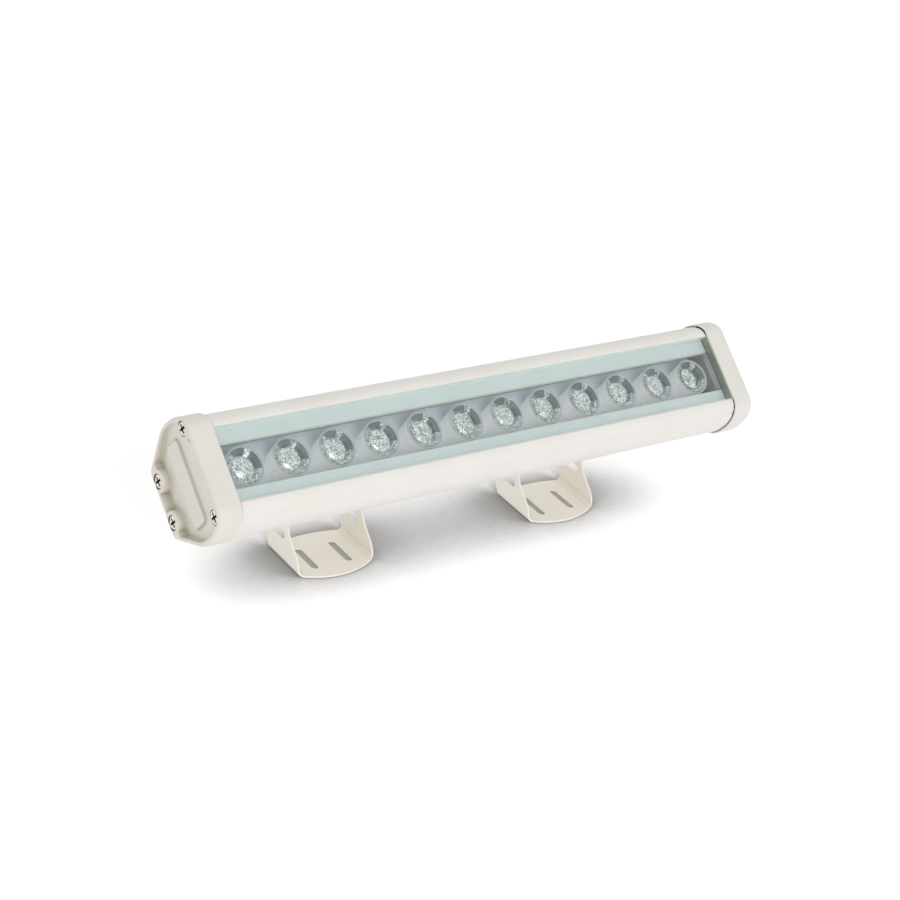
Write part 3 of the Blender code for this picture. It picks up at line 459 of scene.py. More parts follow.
def rounded(points: Sequence[Point], radii: Sequence[float], steps: int) -> Outline:
    """Turn the inner corners of an open line into arcs.

    Args:
        points: The line's corners.
        radii: A radius for each corner but the first and last.
        steps: The pieces of each arc.

    Returns:
        The points of the rounded line.
    """
    line = [tuple(points[0])]
    for before, corner, after, radius in zip(points, points[1:], points[2:], radii):
        here = Vector(corner)
        to_before = (Vector(before) - here).normalized()
        to_after = (Vector(after) - here).normalized()
        half = to_before.angle(to_after) / 2
        centre = here + (to_before + to_after).normalized() * radius / math.sin(half)
        first = here + to_before * radius / math.tan(half) - centre
        last = here + to_after * radius / math.tan(half) - centre
        sweep = first.angle_signed(last)
        for step in range(steps + 1):
            angle = -sweep * step / steps
            cosine, sine = math.cos(angle), math.sin(angle)
            line.append((centre.x + first.x * cosine - first.y * sine,
                         centre.y + first.x * sine + first.y * cosine))
    line.append(tuple(points[-1]))
    return line


def softened(outline: Outline, radius: float, steps: int = 3, limit: float = 30) -> Outline:
    """Turn only the sharp corners of a closed outline into small arcs.

    Args:
        outline: The closed outline.
        radius: The arcs' radius, less where an edge is too short for it.
        steps: The pieces of each arc.
        limit: The turn in degrees above which a corner is sharp.

    Returns:
        The softened outline.
    """
    line = []
    for i, corner in enumerate(outline):
        before, here = Vector(outline[i - 1]), Vector(corner)
        after = Vector(outline[(i + 1) % len(outline)])
        turn = abs((here - before).angle_signed(after - here))
        if math.degrees(turn) < limit:
            line.append(corner)
            continue
        room = 0.45 * min((here - before).length, (after - here).length)
        used = min(radius, room / math.tan(turn / 2))
        line += rounded([before, here, after], [used], steps)[1:-1]
    return line


def mirrored(half: Outline) -> Outline:
    """A closed outline from its right half, which runs from front to back."""
    return half + [(-y, z) for y, z in reversed(half)]


def grown_outline(outline: Outline, distance: float) -> Outline:
    """Move a closed outline outward along its own normals.

    Args:
        outline: The closed outline.
        distance: How far it moves, less than zero for inward.

    Returns:
        The moved outline, with as many points.
    """
    moved = []
    for i, place in enumerate(outline):
        before, here = Vector(outline[i - 1]), Vector(place)
        after = Vector(outline[(i + 1) % len(outline)])
        into, out = (here - before).normalized(), (after - here).normalized()
        normal = (Vector((-into.y, into.x)) + Vector((-out.y, out.x))).normalized()
        stretch = max(0.5, normal.dot(Vector((-into.y, into.x))))
        moved.append(tuple(here + normal * distance / stretch))
    return moved


def rounded_block(length: float, width: float, radius: float, steps: int = 8) -> Outline:
    """A rectangle about the origin with round corners."""
    x, y = length / 2, width / 2
    line = [(0, -y), (x, -y), (x, y), (-x, y), (-x, -y), (0, -y)]
    return rounded(line, (radius,) * 4, steps)[:-1]


def slot_outline(size: Point, along_first: bool, steps: int = 14) -> Outline:
    """A slot with round ends about the origin.

    Args:
        size: Its length and width.
        along_first: Whether its length runs along the first axis.
        steps: The pieces of each end.

    Returns:
        The outline.
    """
    straight, radius = (size[0] - size[1]) / 2, size[1] / 2
    line = []
    for side in (1, -1):
        for step in range(steps + 1):
            across, along = polar((straight, 0), radius, math.pi * step / steps - math.pi / 2)
            line.append((side * across, side * along))
    return line if along_first else [(y, x) for x, y in line]


# ---- Meshes ---------------------------------------------------------------------------------


def smoothed(mesh: Mesh, sharp: float = SHARP) -> Mesh:
    """Shade a mesh smooth but for edges that bend more than so many degrees."""
    mesh.shade_smooth()
    mesh.set_sharp_from_angle(angle=math.radians(sharp))
    return mesh


def to_mesh(name: str, grown: bmesh.types.BMesh, sharp: float = SHARP) -> Mesh:
    """Turn a bmesh, which is freed, into a smooth mesh with outward faces.

    Args:
        name: The mesh's name.
        grown: The bmesh.
        sharp: The angle in degrees above which an edge stays sharp.

    Returns:
        The mesh.
    """
    bmesh.ops.recalc_face_normals(grown, faces=grown.faces)
    mesh = bpy.data.meshes.new(name)
    grown.to_mesh(mesh)
    grown.free()
    return smoothed(mesh, sharp)


def layer(x: float, outline: Outline) -> Loop:
    """A (y, z) outline as a loop at a place on x."""
    return [(x, y, z) for y, z in outline]


def loft(name: str, loops: Sequence[Loop], ring: bool = False, sharp: float = SHARP) -> Mesh:
    """Skin loops of equal point counts into a closed solid.

    Args:
        name: The mesh's name.
        loops: The loops, in millimetres.
        ring: Whether the last loop joins the first; otherwise both ends are closed flat.
        sharp: The angle in degrees above which an edge stays sharp.

    Returns:
        The mesh, in metres.
    """
    grown = bmesh.new()
    rows = [[grown.verts.new(Vector(point) * MM) for point in loop] for loop in loops]
    for low, high in list(zip(rows, rows[1:])) + ([(rows[-1], rows[0])] if ring else []):
        for i, (a, d) in enumerate(zip(low, high)):
            j = (i + 1) % len(low)
            grown.faces.new((a, low[j], high[j], d))
    if not ring:
        grown.faces.new(rows[0])
        grown.faces.new(rows[-1])
    return to_mesh(name, grown, sharp)


def prism(name: str, outlines: Sequence[Outline], start: float, end: float) -> Mesh:
    """Push flat (y, z) outlines along x.

    Args:
        name: The mesh's name.
        outlines: The outside and then its holes, in millimetres.
        start: Where it starts on x.
        end: Where it ends on x.

    Returns:
        The mesh, in metres.
    """
    grown = bmesh.new()
    edges = []
    for outline in outlines:
        points = [grown.verts.new((start * MM, y * MM, z * MM)) for y, z in outline]
        edges += [grown.edges.new(pair) for pair in zip(points, points[1:] + points[:1])]
    filled = bmesh.ops.triangle_fill(grown, use_beauty=True, use_dissolve=False, edges=edges)
    faces = [part for part in filled["geom"] if isinstance(part, bmesh.types.BMFace)]
    extruded = bmesh.ops.extrude_face_region(grown, geom=faces)
    moved = [part for part in extruded["geom"] if isinstance(part, bmesh.types.BMVert)]
    bmesh.ops.translate(grown, verts=moved, vec=((end - start) * MM, 0, 0))
    return to_mesh(name, grown)


class Station(NamedTuple):
    """One ring of a turned solid: its place, its radius or half its width over flats, its flats."""

    x: float
    radius: float
    sides: int = 0
    limit: float = 1e9

    def far(self, angle: float) -> float:
        """The distance to the ring's edge at an angle; flats end at the limit.

        Args:
            angle: The angle in radians.

        Returns:
            The distance.
        """
        if not self.sides:
            return self.radius
        part = 2 * math.pi / self.sides
        return min(self.limit, self.radius / math.cos((angle % part) - part / 2))


def turned_loops(stations: Sequence[tuple], count: int, centre: Point = (0, 0)) -> list[Loop]:
    """One loop about the x axis for each station, which is a Station or a tuple like it."""
    turns = [2 * math.pi * i / count for i in range(count)]
    return [layer(s[0], [polar(centre, Station(*s).far(t), t) for t in turns]) for s in stations]


def turned(
    name: str, stations: Sequence[tuple], count: int = 64, centre: Point = (0, 0),
    ring: bool = False, upright: bool = False, sharp: float = SHARP,
) -> Mesh:
    """A solid turned about the x axis, or about z when it is upright.

    Args:
        name: The mesh's name.
        stations: Its rings in order, each a Station or a tuple like it.
        count: The points on each ring.
        centre: Where the axis passes in y and z.
        ring: Whether the last ring joins the first.
        upright: Whether the axis is z instead of x.
        sharp: The angle in degrees above which an edge stays sharp.

    Returns:
        The mesh, in metres.
    """
    loops = turned_loops(stations, count, centre)
    if upright:
        loops = [[(y, z, x) for x, y, z in loop] for loop in loops]
    return loft(name, loops, ring, sharp)


def hexagon(
    low: float, high: float, flat: float, crown: Sequence[Point], at_low: bool, at_high: bool
) -> list[tuple]:
    """A length of hexagon whose corners are turned down at one or both ends.

    Args:
        low: Where it starts.
        high: Where it ends.
        flat: Half its width over flats.
        crown: The turned corner's steps: the distance from the end and the radius there.
        at_low: Whether the start is turned down.
        at_high: Whether the end is turned down.

    Returns:
        Its stations.
    """
    start = [(low + step, flat, 6, limit) for step, limit in crown]
    end = [(high - step, flat, 6, limit) for step, limit in reversed(crown)]
    return (start if at_low else [(low, flat, 6)]) + (end if at_high else [(high, flat, 6)])


def threaded(
    start: float, end: float, radius: float, pitch: float, depth: float, count: int
) -> list[Loop]:
    """Rings about the x axis with a thread cut into them, eight to a turn.

    Args:
        start: Where the thread starts.
        end: Where it ends.
        radius: The thread's outer radius.
        pitch: Its pitch.
        depth: Its depth.
        count: The points on each ring.

    Returns:
        The loops.
    """
    steps = max(2, round(abs(end - start) / pitch * 8))
    loops = []
    for step in range(steps + 1):
        x = start + (end - start) * step / steps
        loop = []
        for i in range(count):
            phase = (x / pitch - i / count) % 1
            far = radius - depth * min(1, max(0, 1.35 - 2.7 * abs(phase - 0.5)) - 0.15)
            loop.append((x, *polar((0, 0), far, 2 * math.pi * i / count)))
        loops.append(loop)
    return loops


def indexed(mesh: Mesh, choose: Callable[[Vector, Vector], int]) -> Mesh:
    """Give each face of a mesh its material's number.

    Args:
        mesh: The mesh.
        choose: Names the number for a face's centre, in millimetres, and its normal.

    Returns:
        The same mesh.
    """
    for face in mesh.polygons:
        face.material_index = int(choose(face.center / MM, face.normal))
    return mesh


def set_down(name: str, data: object) -> bpy.types.Object:
    """Make an object of its data and put it in the scene."""
    thing = bpy.data.objects.new(name, data)
    bpy.context.scene.collection.objects.link(thing)
    return thing


def carved(mesh: Mesh, cuts: Sequence[tuple[str, Mesh]]) -> Mesh:
    """Cut meshes out of another, or join them on, one after the other.

    Args:
        mesh: The mesh that is cut.
        cuts: CUT or JOIN, and the mesh of each step.

    Returns:
        The carved mesh, with its sharp edges marked again.
    """
    target = set_down("blank", mesh)
    tools = []
    for operation, tool in cuts:
        tools.append(set_down("tool", tool))
        step = target.modifiers.new("cut", "BOOLEAN")
        step.operation, step.solver, step.object = operation, "EXACT", tools[-1]
    bpy.context.view_layer.update()
    graph = bpy.context.evaluated_depsgraph_get()
    made = bpy.data.meshes.new_from_object(target.evaluated_get(graph))
    made.name = mesh.name
    for thing in [target, *tools]:
        bpy.data.objects.remove(thing)
    return smoothed(made)


@dataclass(frozen=True)
class Place:
    """Where a piece goes: its matrix, its body and its slot."""

    matrix: Matrix
    body: Body
    slot: str

    def put(self, name: str, mesh: Mesh, finishes: Sequence[Finish], *nodes: str) -> None:
        """Make one piece of a mesh, dress it and let it ride on its body.

        Args:
            name: The piece's name.
            mesh: Its mesh.
            finishes: Its finishes, by material index.
            nodes: The CAD nodes that it stands for.
        """
        placed = mesh.copy()
        placed.transform(self.matrix)
        thing = set_down(name, placed)
        for finish in finishes:
            placed.materials.append(finish.material())
        shade = thing.modifiers.new("flat_faces_stay_flat", "WEIGHTED_NORMAL")
        shade.keep_sharp = True
        shade.weight = 100
        bpy.context.view_layer.update()
        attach(thing, self.body.value)
        if nodes:
            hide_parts(*nodes)
        LOG.info("%s: %d faces", name, len(mesh.polygons))


def dress_node(node: str, finish: Finish) -> None:
    """Give a CAD node that stays its material.

    Args:
        node: The node's name.
        finish: Its finish.
    """
    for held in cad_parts[node].material_slots:
        held.link = "OBJECT"
        held.material = finish.material()
    LOG.info("%s: dressed", node)


# ---- The bar --------------------------------------------------------------------------------


@dataclass(frozen=True)
class Stance:
    """How the bar stands on its brackets, as the CAD has it."""

    tilt: float = 36.5
    pivot: tuple[float, float, float] = (-6.8, 22.0, 32.3)
    below_glass: float = 58.0
    bracket_x: float = 71.0

    def lean(self) -> Matrix:
        """The bar's tilt."""
        return Matrix.Rotation(math.radians(self.tilt), 4, "X")

    def axis(self, x: float) -> Matrix:
        """An upright frame on the tilt axis, so many millimetres from the bar's middle."""
        return Matrix.Translation(Vector(self.pivot) * MM + Vector((x * MM, 0, 0)))

    def bar(self, x: float = 0.0) -> Matrix:
        """The bar's frame, or one so many millimetres along it."""
        shift = Matrix.Translation((0, 0, self.below_glass * MM))
        return self.axis(0) @ self.lean() @ shift @ Matrix.Translation((x * MM, 0, 0))

    def foot(self, side: Side) -> Matrix:
        """The upright frame of one base bracket, on the tilt axis."""
        return self.axis(side.value * self.bracket_x)

    def saddle(self, side: Side) -> Matrix:
        """The frame of one saddle: on the tilt axis, leaning with the bar."""
        return self.foot(side) @ self.lean()


STANCE = Stance()


@dataclass(frozen=True)
class Section:
    """The bar's cross-section, which the housing and the caps share."""

    glass_half_width: float = 17.65
    lip_inner: float = 17.95
    front_flat: float = 18.3
    corner_width: float = 9.8
    corner_drop: float = 15.2
    lip_top: float = 0.2
    shoulder_depth: float = 21.3
    shoulder_radius: float = 15.0
    back_depth: float = 42.2
    back_half_width: float = 16.0
    back_radius: float = 2.6
    groove_angle: float = 49.5
    groove_width: float = 1.3
    groove_depth: float = 0.3
    front_screw: Point = (21.06, -4.46)
    back_screw: Point = (10.12, -39.24)
    steps: int = 40
    back_steps: int = 14

    @property
    def half_width(self) -> float:
        """Half the bar's width at its widest."""
        return self.front_flat + self.corner_width

    def corner_point(self, angle: float, depth: float = 0.0) -> Point:
        """A point on the front corner, which is part of an ellipse, or below its surface.

        Args:
            angle: The ellipse's angle in degrees: 90 at the lip and 0 at the side.
            depth: How far below the surface.

        Returns:
            The point in y and z.
        """
        turn = math.radians(angle)
        normal = Vector((math.cos(turn) / self.corner_width, math.sin(turn) / self.corner_drop))
        point = Vector((
            self.front_flat + self.corner_width * math.cos(turn),
            self.lip_top - self.corner_drop + self.corner_drop * math.sin(turn)))
        return tuple(point - normal.normalized() * depth)

    def half(self, grooved: bool) -> Outline:
        """The right half of the outside, from the front lip to the middle of the back.

        Args:
            grooved: Whether the side groove is cut.

        Returns:
            The half outline.
        """
        turn = math.radians(self.groove_angle)
        run = math.hypot(self.corner_width * math.sin(turn), self.corner_drop * math.cos(turn))
        groove_half = math.degrees(self.groove_width / 2 / run)
        corner = [(90 - 90 * step / self.steps, 0.0) for step in range(self.steps + 1)]
        if grooved:
            corner = [(a, d) for a, d in corner if abs(a - self.groove_angle) > 1.2 * groove_half]
            for share, depth in ((1.0, 0.0), (0.7, 0.3), (0.3, 1.0)):
                for side in (-1, 1):
                    at = self.groove_angle + side * share * groove_half
                    corner.append((at, depth * self.groove_depth))
        front = [self.corner_point(angle, depth) for angle, depth in sorted(corner, reverse=True)]
        corners = [
            front[-1],
            (self.half_width, -self.shoulder_depth),
            (self.back_half_width, -self.back_depth),
            (0.0, -self.back_depth),
        ]
        back = rounded(corners, (self.shoulder_radius, self.back_radius), self.back_steps)
        return front + back[1:-1]

    def grown(self, distance: float) -> Outline:
        """The outside without its groove and slots, moved outward."""
        return grown_outline(mirrored(self.half(grooved=False)), distance)

    def screws(self) -> list[Point]:
        """The four cap screws in y and z, in the CAD's order."""
        return [(side * y, z) for y, z in (self.front_screw, self.back_screw) for side in (1, -1)]


SECTION = Section()


@dataclass(frozen=True)
class Housing:
    """The extruded aluminium profile."""

    length: float = 301.5
    ledge_edge: float = 10.45
    ledge_top: float = -5.4
    ledge_bottom: float = -8.0
    chamber_half: float = 23.9
    web_top: float = -19.9
    web_bottom: float = -22.4
    chamber_wall: float = 2.6
    chamber_floor: float = -34.1
    slot_neck: float = 2.8
    slot_inner: float = 4.3
    slot_lip_top: float = -40.0
    slot_roof: float = -35.9
    port_radius: float = 1.9
    edge_radius: float = 0.14

    def outside(self) -> Outline:
        """The whole outline, with the glass recess, the front chamber and the T-slot."""
        slot = [
            (self.slot_neck, -SECTION.back_depth),
            (self.slot_neck, self.slot_lip_top),
            (self.slot_inner, self.slot_lip_top),
            (self.slot_inner, self.slot_roof),
        ]
        recess = [
            (self.chamber_half, self.web_top),
            (self.chamber_half, self.ledge_bottom),
            (self.ledge_edge, self.ledge_bottom),
            (self.ledge_edge, self.ledge_top),
            (SECTION.lip_inner, self.ledge_top),
            (SECTION.lip_inner, SECTION.lip_top),
        ]
        whole = mirrored(recess + SECTION.half(grooved=True) + slot)
        return softened(whole, self.edge_radius)

    def chamber_side(self, z: float) -> float:
        """Half the rear chamber's width at a height.

        Args:
            z: The height.

        Returns:
            The half width.
        """
        rise = SECTION.back_depth - SECTION.shoulder_depth
        taper = Vector((SECTION.half_width - SECTION.back_half_width, rise)).normalized()
        outside = SECTION.half_width - (-SECTION.shoulder_depth - z) * taper.x / taper.y
        return outside - self.chamber_wall / taper.y

    def chamber(self) -> Outline:
        """The rear chamber's outline."""
        top = min(self.chamber_side(self.web_bottom), self.chamber_half)
        return mirrored([
            (top, self.web_bottom), (self.chamber_side(self.chamber_floor), self.chamber_floor)])

    def finish_at(self, place: Vector, normal: Vector) -> int:
        """1 for the ledges' inner walls, which face the lenses and are painted darker as the shadow
        below the ledges, else 0.
        """
        between = abs(place.y) < self.ledge_edge + 0.2
        level = self.ledge_bottom - 0.1 < place.z < self.ledge_top - 0.2
        return between and level and abs(normal.x) < 0.5

    def build(self) -> None:
        """Make the profile."""
        ports = [circle(place, self.port_radius, 24) for place in SECTION.screws()]
        outlines = [self.outside(), self.chamber(), *ports]
        mesh = prism("housing", outlines, -self.length / 2, self.length / 2)
        Place(STANCE.bar(), Body.LAMP, "housing").put(
            "housing_profile", indexed(mesh, self.finish_at), [HOUSING_COAT, HOUSING_LEDGE_SHADE],
            "housing")


@dataclass(frozen=True)
class GlassFront:
    """The tempered pane and the two strips of silicone that it lies on."""

    length: float = 301.5
    thickness: float = 4.0
    arris: float = 0.25

    def pane(self) -> Mesh:
        """The pane, with ground arrises; its long edges and ends have their own materials."""
        long, wide, cut = self.length / 2, SECTION.glass_half_width, self.arris
        loops = []
        for z, inset in ((-self.thickness, cut), (cut - self.thickness, 0), (-cut, 0), (0, cut)):
            x, y = long - inset, wide - inset
            loops.append([(-x, -y, z), (x, -y, z), (x, y, z), (-x, y, z)])
        return indexed(loft("pane", loops), self.finish_at)

    def finish_at(self, place: Vector, normal: Vector) -> int:
        """1 for the long edges, 2 for the ends, 0 for the faces and the ends' arrises."""
        if abs(normal.x) > 0.6:
            return 2 if abs(normal.z) < 0.5 else 0
        return 1 if abs(normal.y) > 0.5 else 0

    def build(self) -> None:
        """Make the pane and dress its seals."""
        place = Place(STANCE.bar(), Body.LAMP, "front_glass")
        place.put("glass_pane", self.pane(), [GLASS_FACE, GLASS_EDGE, GLASS_END], "front_glass")
        for edge in ("upper", "lower"):
            dress_node(f"glass_seal_{edge}", SILICONE)


@dataclass(frozen=True)
class LightEngine:
    """The LED board with its emitters, and a clear optic in a milky holder over each."""

    count: int = 12
    pitch: float = 25.0
    top: float = -7.0
    foot: float = -17.7
    outer: float = 9.55
    foot_outer: float = 8.35
    wall: float = 0.9
    hole: float = 3.9
    optic_radius: float = 8.6
    flank_bow: float = 0.62
    window_radius: float = 6.0
    window_depth: float = 1.6
    # Sectors of the optic's face, in degrees, that are painted dark as reflection.
    painted_dark_sectors: tuple[Point, ...] = ((-18, 46), (70, 124))
    led_size: float = 3.5
    led_base: float = 0.9
    dome: float = 1.5

    def holder(self) -> Mesh:
        """The cup that holds the optic: a thin wall, a floor with a hole, a flat rim."""
        top, foot, wall, outer = self.top, self.foot, self.wall, self.outer
        low_inner, mouth = self.foot_outer - wall, self.optic_radius + 0.1
        mesh = turned("holder", [
            (foot, self.hole), (foot, self.foot_outer - 0.2), (foot + 0.2, self.foot_outer),
            (top - 1.6, outer - 0.25), (top - 1.3, outer), (top - 0.25, outer),
            (top - 0.07, outer - 0.07), (top, outer - 0.25), (top, mouth + 0.15),
            (top - 0.15, mouth), (top - wall, mouth), (top - wall - 0.2, outer - wall),
            (foot + 1.1, low_inner), (foot + 0.9, low_inner - 0.3), (foot + 0.9, self.hole),
        ], 72, ring=True, upright=True)
        # The rim's top takes the darker copy of the milky plastic: painted shade.
        return indexed(mesh, lambda place, _: place.z > top - 0.3)

    def optic(self) -> Mesh:
        """The collimating lens: a steep flank, a front ring and a sunken window in the middle."""
        rim, bottom = self.top - 0.25, self.foot + 1.0
        window, sunk = self.window_radius, rim - self.window_depth
        flank = [
            (bottom + (rim - 0.8 - bottom) * step / 8,
             3.5 + (self.optic_radius - 3.7) * (step / 8) ** self.flank_bow)
            for step in range(9)]
        mesh = turned("optic", [
            (bottom + 2.6, 1.3), (bottom + 2.2, 2.2), (bottom, 2.7), *flank,
            (rim - 0.2, self.optic_radius), (rim, self.optic_radius - 0.2),
            (rim - 0.25, window + 1.0), (rim - 0.55, window + 0.45), (sunk, window),
            (sunk + 0.15, window - 0.5), (sunk + 0.6, window - 1.5), (sunk + 1.0, window - 3.0),
            (sunk + 1.15, 0.8),
        ], 60, upright=True, sharp=30)
        return indexed(mesh, self.optic_finish_at)

    def optic_finish_at(self, place: Vector, normal: Vector) -> int:
        """0 for the clear flank, 1 for the window, 2 for the ring, and 3 for the ring's and window
        wall's sectors painted dark as reflection.

        Args:
            place: The face's centre.
            normal: Its normal, which doesn't matter here.

        Returns:
            The material's number.
        """
        rim, far = self.top - 0.25, math.hypot(place.x, place.y)
        below = place.z < rim - 0.7 and far > self.window_radius + 0.5
        if below or place.z < rim - self.window_depth - 0.1:
            return 0
        if far <= self.window_radius - 0.1:
            return 1
        turn = math.degrees(math.atan2(place.y, place.x))
        return 3 if any(low < turn < high for low, high in self.painted_dark_sectors) else 2

    def emitter(self) -> Mesh:
        """The LED: a square white package with a phosphor dome in the second material."""
        base, half = self.foot + self.led_base, self.led_size / 2
        stations = [(self.foot, half, 4), (base - 0.15, half, 4), (base, half - 0.15, 4),
                    (base, self.dome)]
        for step in range(1, 7):
            turn = math.radians(14 * step)
            stations.append((base + self.dome * math.sin(turn), self.dome * math.cos(turn)))
        mesh = turned("emitter", stations, 32, upright=True)
        return indexed(mesh, lambda place, _: place.z > base + 0.02)

    def build(self) -> None:
        """Make the twelve sets and dress the board."""
        holder, optic, emitter = self.holder(), self.optic(), self.emitter()
        finishes = [ACRYLIC, ACRYLIC_FRONT, ACRYLIC_RING, ACRYLIC_DARK_REFLECTION]
        for number in range(self.count):
            matrix = STANCE.bar((number - (self.count - 1) / 2) * self.pitch)
            label = f"{number + 1:02d}"
            lens = Place(matrix, Body.LAMP, "lens_acrylic")
            lens.put(f"optic_{label}", optic, finishes, f"lens_{label}")
            lens.put(f"holder_{label}", holder, [MILKY, MILKY_RIM_SHADE])
            led = Place(matrix, Body.LAMP, "emitter")
            led.put(f"emitter_{label}", emitter, [LED_BODY, PHOSPHOR], f"led_{label}")
        dress_node("led_board", SOLDER_MASK)


@dataclass(frozen=True)
class Driver:
    """The driver in the rear chamber, which only shows with a cap off."""

    def build(self) -> None:
        """Dress the driver's CAD nodes."""
        dress_node("driver_board", GREEN_BOARD)
        dress_node("driver_transformer", FERRITE)
        dress_node("driver_capacitor", FERRITE)


@dataclass(frozen=True)
class EndCap:
    """One cast end cap with its gasket and its four screws."""

    side: Side
    inner: float = 151.15
    thickness: float = 12.2
    proud: float = 1.1
    edge_radius: float = 1.8
    rim: float = 2.4
    slope: float = 0.11
    slope_start: float = -1.0
    mouth: float = -4.0
    boss_radius: float = 5.6
    boss_turn: float = 22.0
    pocket_edge: float = 0.3
    pocket_fillet: float = 0.5
    gasket_rim: float = 1.4
    gasket_depth: float = 1.1
    joint: float = 0.38
    bead: float = 0.3
    bead_inset: float = 1.2
    sealant_depth: float = 1.5
    cavity: tuple[float, float, float, float] = (5.0, 15.0, -32.5, -9.5)
    cavity_radius: float = 2.0
    pad: tuple[float, float, float] = (19.8, -25.0, -12.0)
    pad_height: float = 1.3
    pad_draft: float = 0.6
    pad_radius: float = 2.5
    mark_place: Point = (-14.6, -2.2)
    mark_size: float = 1.6
    seat_depth: float = 2.4
    seat_cone: float = 1.3
    head_radius: float = 3.3
    shank_radius: float = 1.6
    gap: float = 0.3
    gland_place: Point = (2.0, -26.0)
    gland_start: float = 6.0
    gland_boss: float = 9.0
    gland_sink: float = 1.4
    gland_hole: float = 6.3

    def matrix(self, place: Point = (0, 0)) -> Matrix:
        """The cap's frame, x outward from the joint, about a place on it in y and z."""
        turn = Matrix.Rotation(0 if self.side is Side.RIGHT else math.pi, 4, "Z")
        frame_at = STANCE.bar(self.side.value * self.inner) @ turn
        return frame_at @ Matrix.Translation((0, place[0] * MM, place[1] * MM))

    def floor(self, z: float) -> float:
        """Where the pocket's sloping floor lies on x."""
        return self.thickness - self.slope * (self.slope_start - z)

    def blank(self) -> Mesh:
        """The cap's outer form, with a soft edge round its outer face."""
        outline = SECTION.grown(self.proud)
        loops = [layer(0, grown_outline(outline, -0.3)), layer(0.3, outline)]
        for step in range(9):
            turn = math.radians(90 * step / 8)
            shrink = self.edge_radius * (1 - math.cos(turn))
            x = self.thickness - self.edge_radius * (1 - math.sin(turn))
            loops.append(layer(x, grown_outline(outline, -shrink)))
        return loft("end_cap", loops)

    def pocket_outline(self) -> Outline:
        """The recess in the outer face: open at the front, and round the two back screws."""
        rim = SECTION.grown(self.proud - self.rim)
        y, z = SECTION.back_screw
        room = self.rim - self.proud - SECTION.back_depth - z
        sweep = 180 - math.degrees(math.asin(room / self.boss_radius)) - self.boss_turn
        turns = [math.radians(self.boss_turn + sweep * step / 24) for step in range(25)]
        bosses = [polar((y, z), self.boss_radius, turn) for turn in turns]
        lowest = bosses[0][1]
        side = [point for point in rim[:len(rim) // 2] if lowest < point[1] < self.mouth]
        slope = (side[-1][0] - side[-2][0]) / (side[-1][1] - side[-2][1])
        foot = (side[-1][0] + slope * (lowest - side[-1][1]), lowest)
        front = SECTION.lip_top + self.proud + 3
        return mirrored([(side[0][0], front)] + side + [foot] + bosses)

    def pocket(self) -> Mesh:
        """What the pocket takes out: a fillet along its floor and a rolled edge at its rim."""
        outline = self.pocket_outline()
        loops = []
        for rise, inset in QUARTER:
            shape = grown_outline(outline, -inset * self.pocket_fillet)
            loops.append([(self.floor(z) + rise * self.pocket_fillet, y, z) for y, z in shape])
        for out, drop in QUARTER:
            shape = grown_outline(outline, out * self.pocket_edge)
            level = self.thickness - drop * self.pocket_edge
            loops.append([
                (max(level, self.floor(z) + self.pocket_fillet + 0.01 * (1 - drop)), y, z)
                for y, z in shape])
        loops.append([(self.thickness + 3, y, z) for _, y, z in loops[-1]])
        return loft("pocket", loops)

    def bare_pad(self) -> Mesh:
        """The long raised pad on the pocket's floor, which stays bare."""
        half, back, front = self.pad
        rounds = ((0.5, 0.0), (0.31, 0.04), (0.15, 0.15), (0.04, 0.31), (0.0, 0.5))
        steps = [(-1.0, -self.pad_draft), (0.0, -self.pad_draft)]
        steps += [(self.pad_height - down, inset) for down, inset in rounds]
        loops = []
        for height, shrink in steps:
            size = (2 * (half - shrink), front - back - 2 * shrink, self.pad_radius - shrink)
            block = shifted(rounded_block(*size), 0, (front + back) / 2)
            loops.append([(self.floor(z) + height, y, z) for y, z in block])
        return loft("bare_pad", loops)

    def mark(self) -> Mesh:
        """What the small three-cornered dimple takes out."""
        y, z = self.mark_place
        line = softened([polar((0, 0), self.mark_size, turn) for turn in (0, 2.1, 4.2)], 0.3, 4)
        return loft("mark", [
            layer(self.floor(z) + x, shifted(scaled(line, scale), y, z))
            for x, scale in ((-0.5, 0.6), (0.2, 1.1), (1, 1.1))])

    def seat(self, place: Point) -> Mesh:
        """What a screw takes out: its way through, its cone and room for its head."""
        start, top = self.thickness - self.seat_depth, self.thickness
        bore, wide = self.shank_radius + self.gap, self.head_radius + self.gap
        return turned("seat", [
            (-1, bore), (start, bore), (start + self.seat_cone, wide), (top - 0.2, wide),
            (top, wide + 0.2), (top + 2, wide + 0.2)], 48, place)

    def cuts(self) -> list[tuple[str, Mesh]]:
        """What the cap's blank gains and loses, in order."""
        cuts = [(CUT, self.pocket())]
        if self.side is Side.LEFT:
            cuts += [(JOIN, self.bare_pad()), (CUT, self.mark())]
        else:
            seat, boss, hole = self.thickness - self.gland_sink, self.gland_boss, self.gland_hole
            rings = [(self.gland_start, boss), (seat - 0.25, boss), (seat, boss - 0.25)]
            way = [(0, hole), (seat + 1, hole)]
            cuts += [(JOIN, turned("boss", rings, 72, self.gland_place)),
                     (CUT, turned("way", way, 48, self.gland_place))]
        cuts += [(CUT, self.seat(place)) for place in SECTION.screws()]
        recess = SECTION.grown(self.proud - self.gasket_rim)
        deep, half, back, front = self.cavity
        block = rounded_block(2 * half, front - back, self.cavity_radius)
        hollow = shifted(block, 0, (front + back) / 2)
        return cuts + [(CUT, prism("recess", [recess], -1, self.gasket_depth)),
                       (CUT, prism("hollow", [hollow], -1, deep))]

    def finish_at(self, place: Vector, normal: Vector) -> int:
        """The material of one of the cap's faces.

        Args:
            place: The face's centre.
            normal: Its normal.

        Returns:
            1 for a screw's seat, painted dark as shade round the head, 2 for the bare pad's flanks,
            painted darker as shade, else 0.
        """
        x, y, z = place
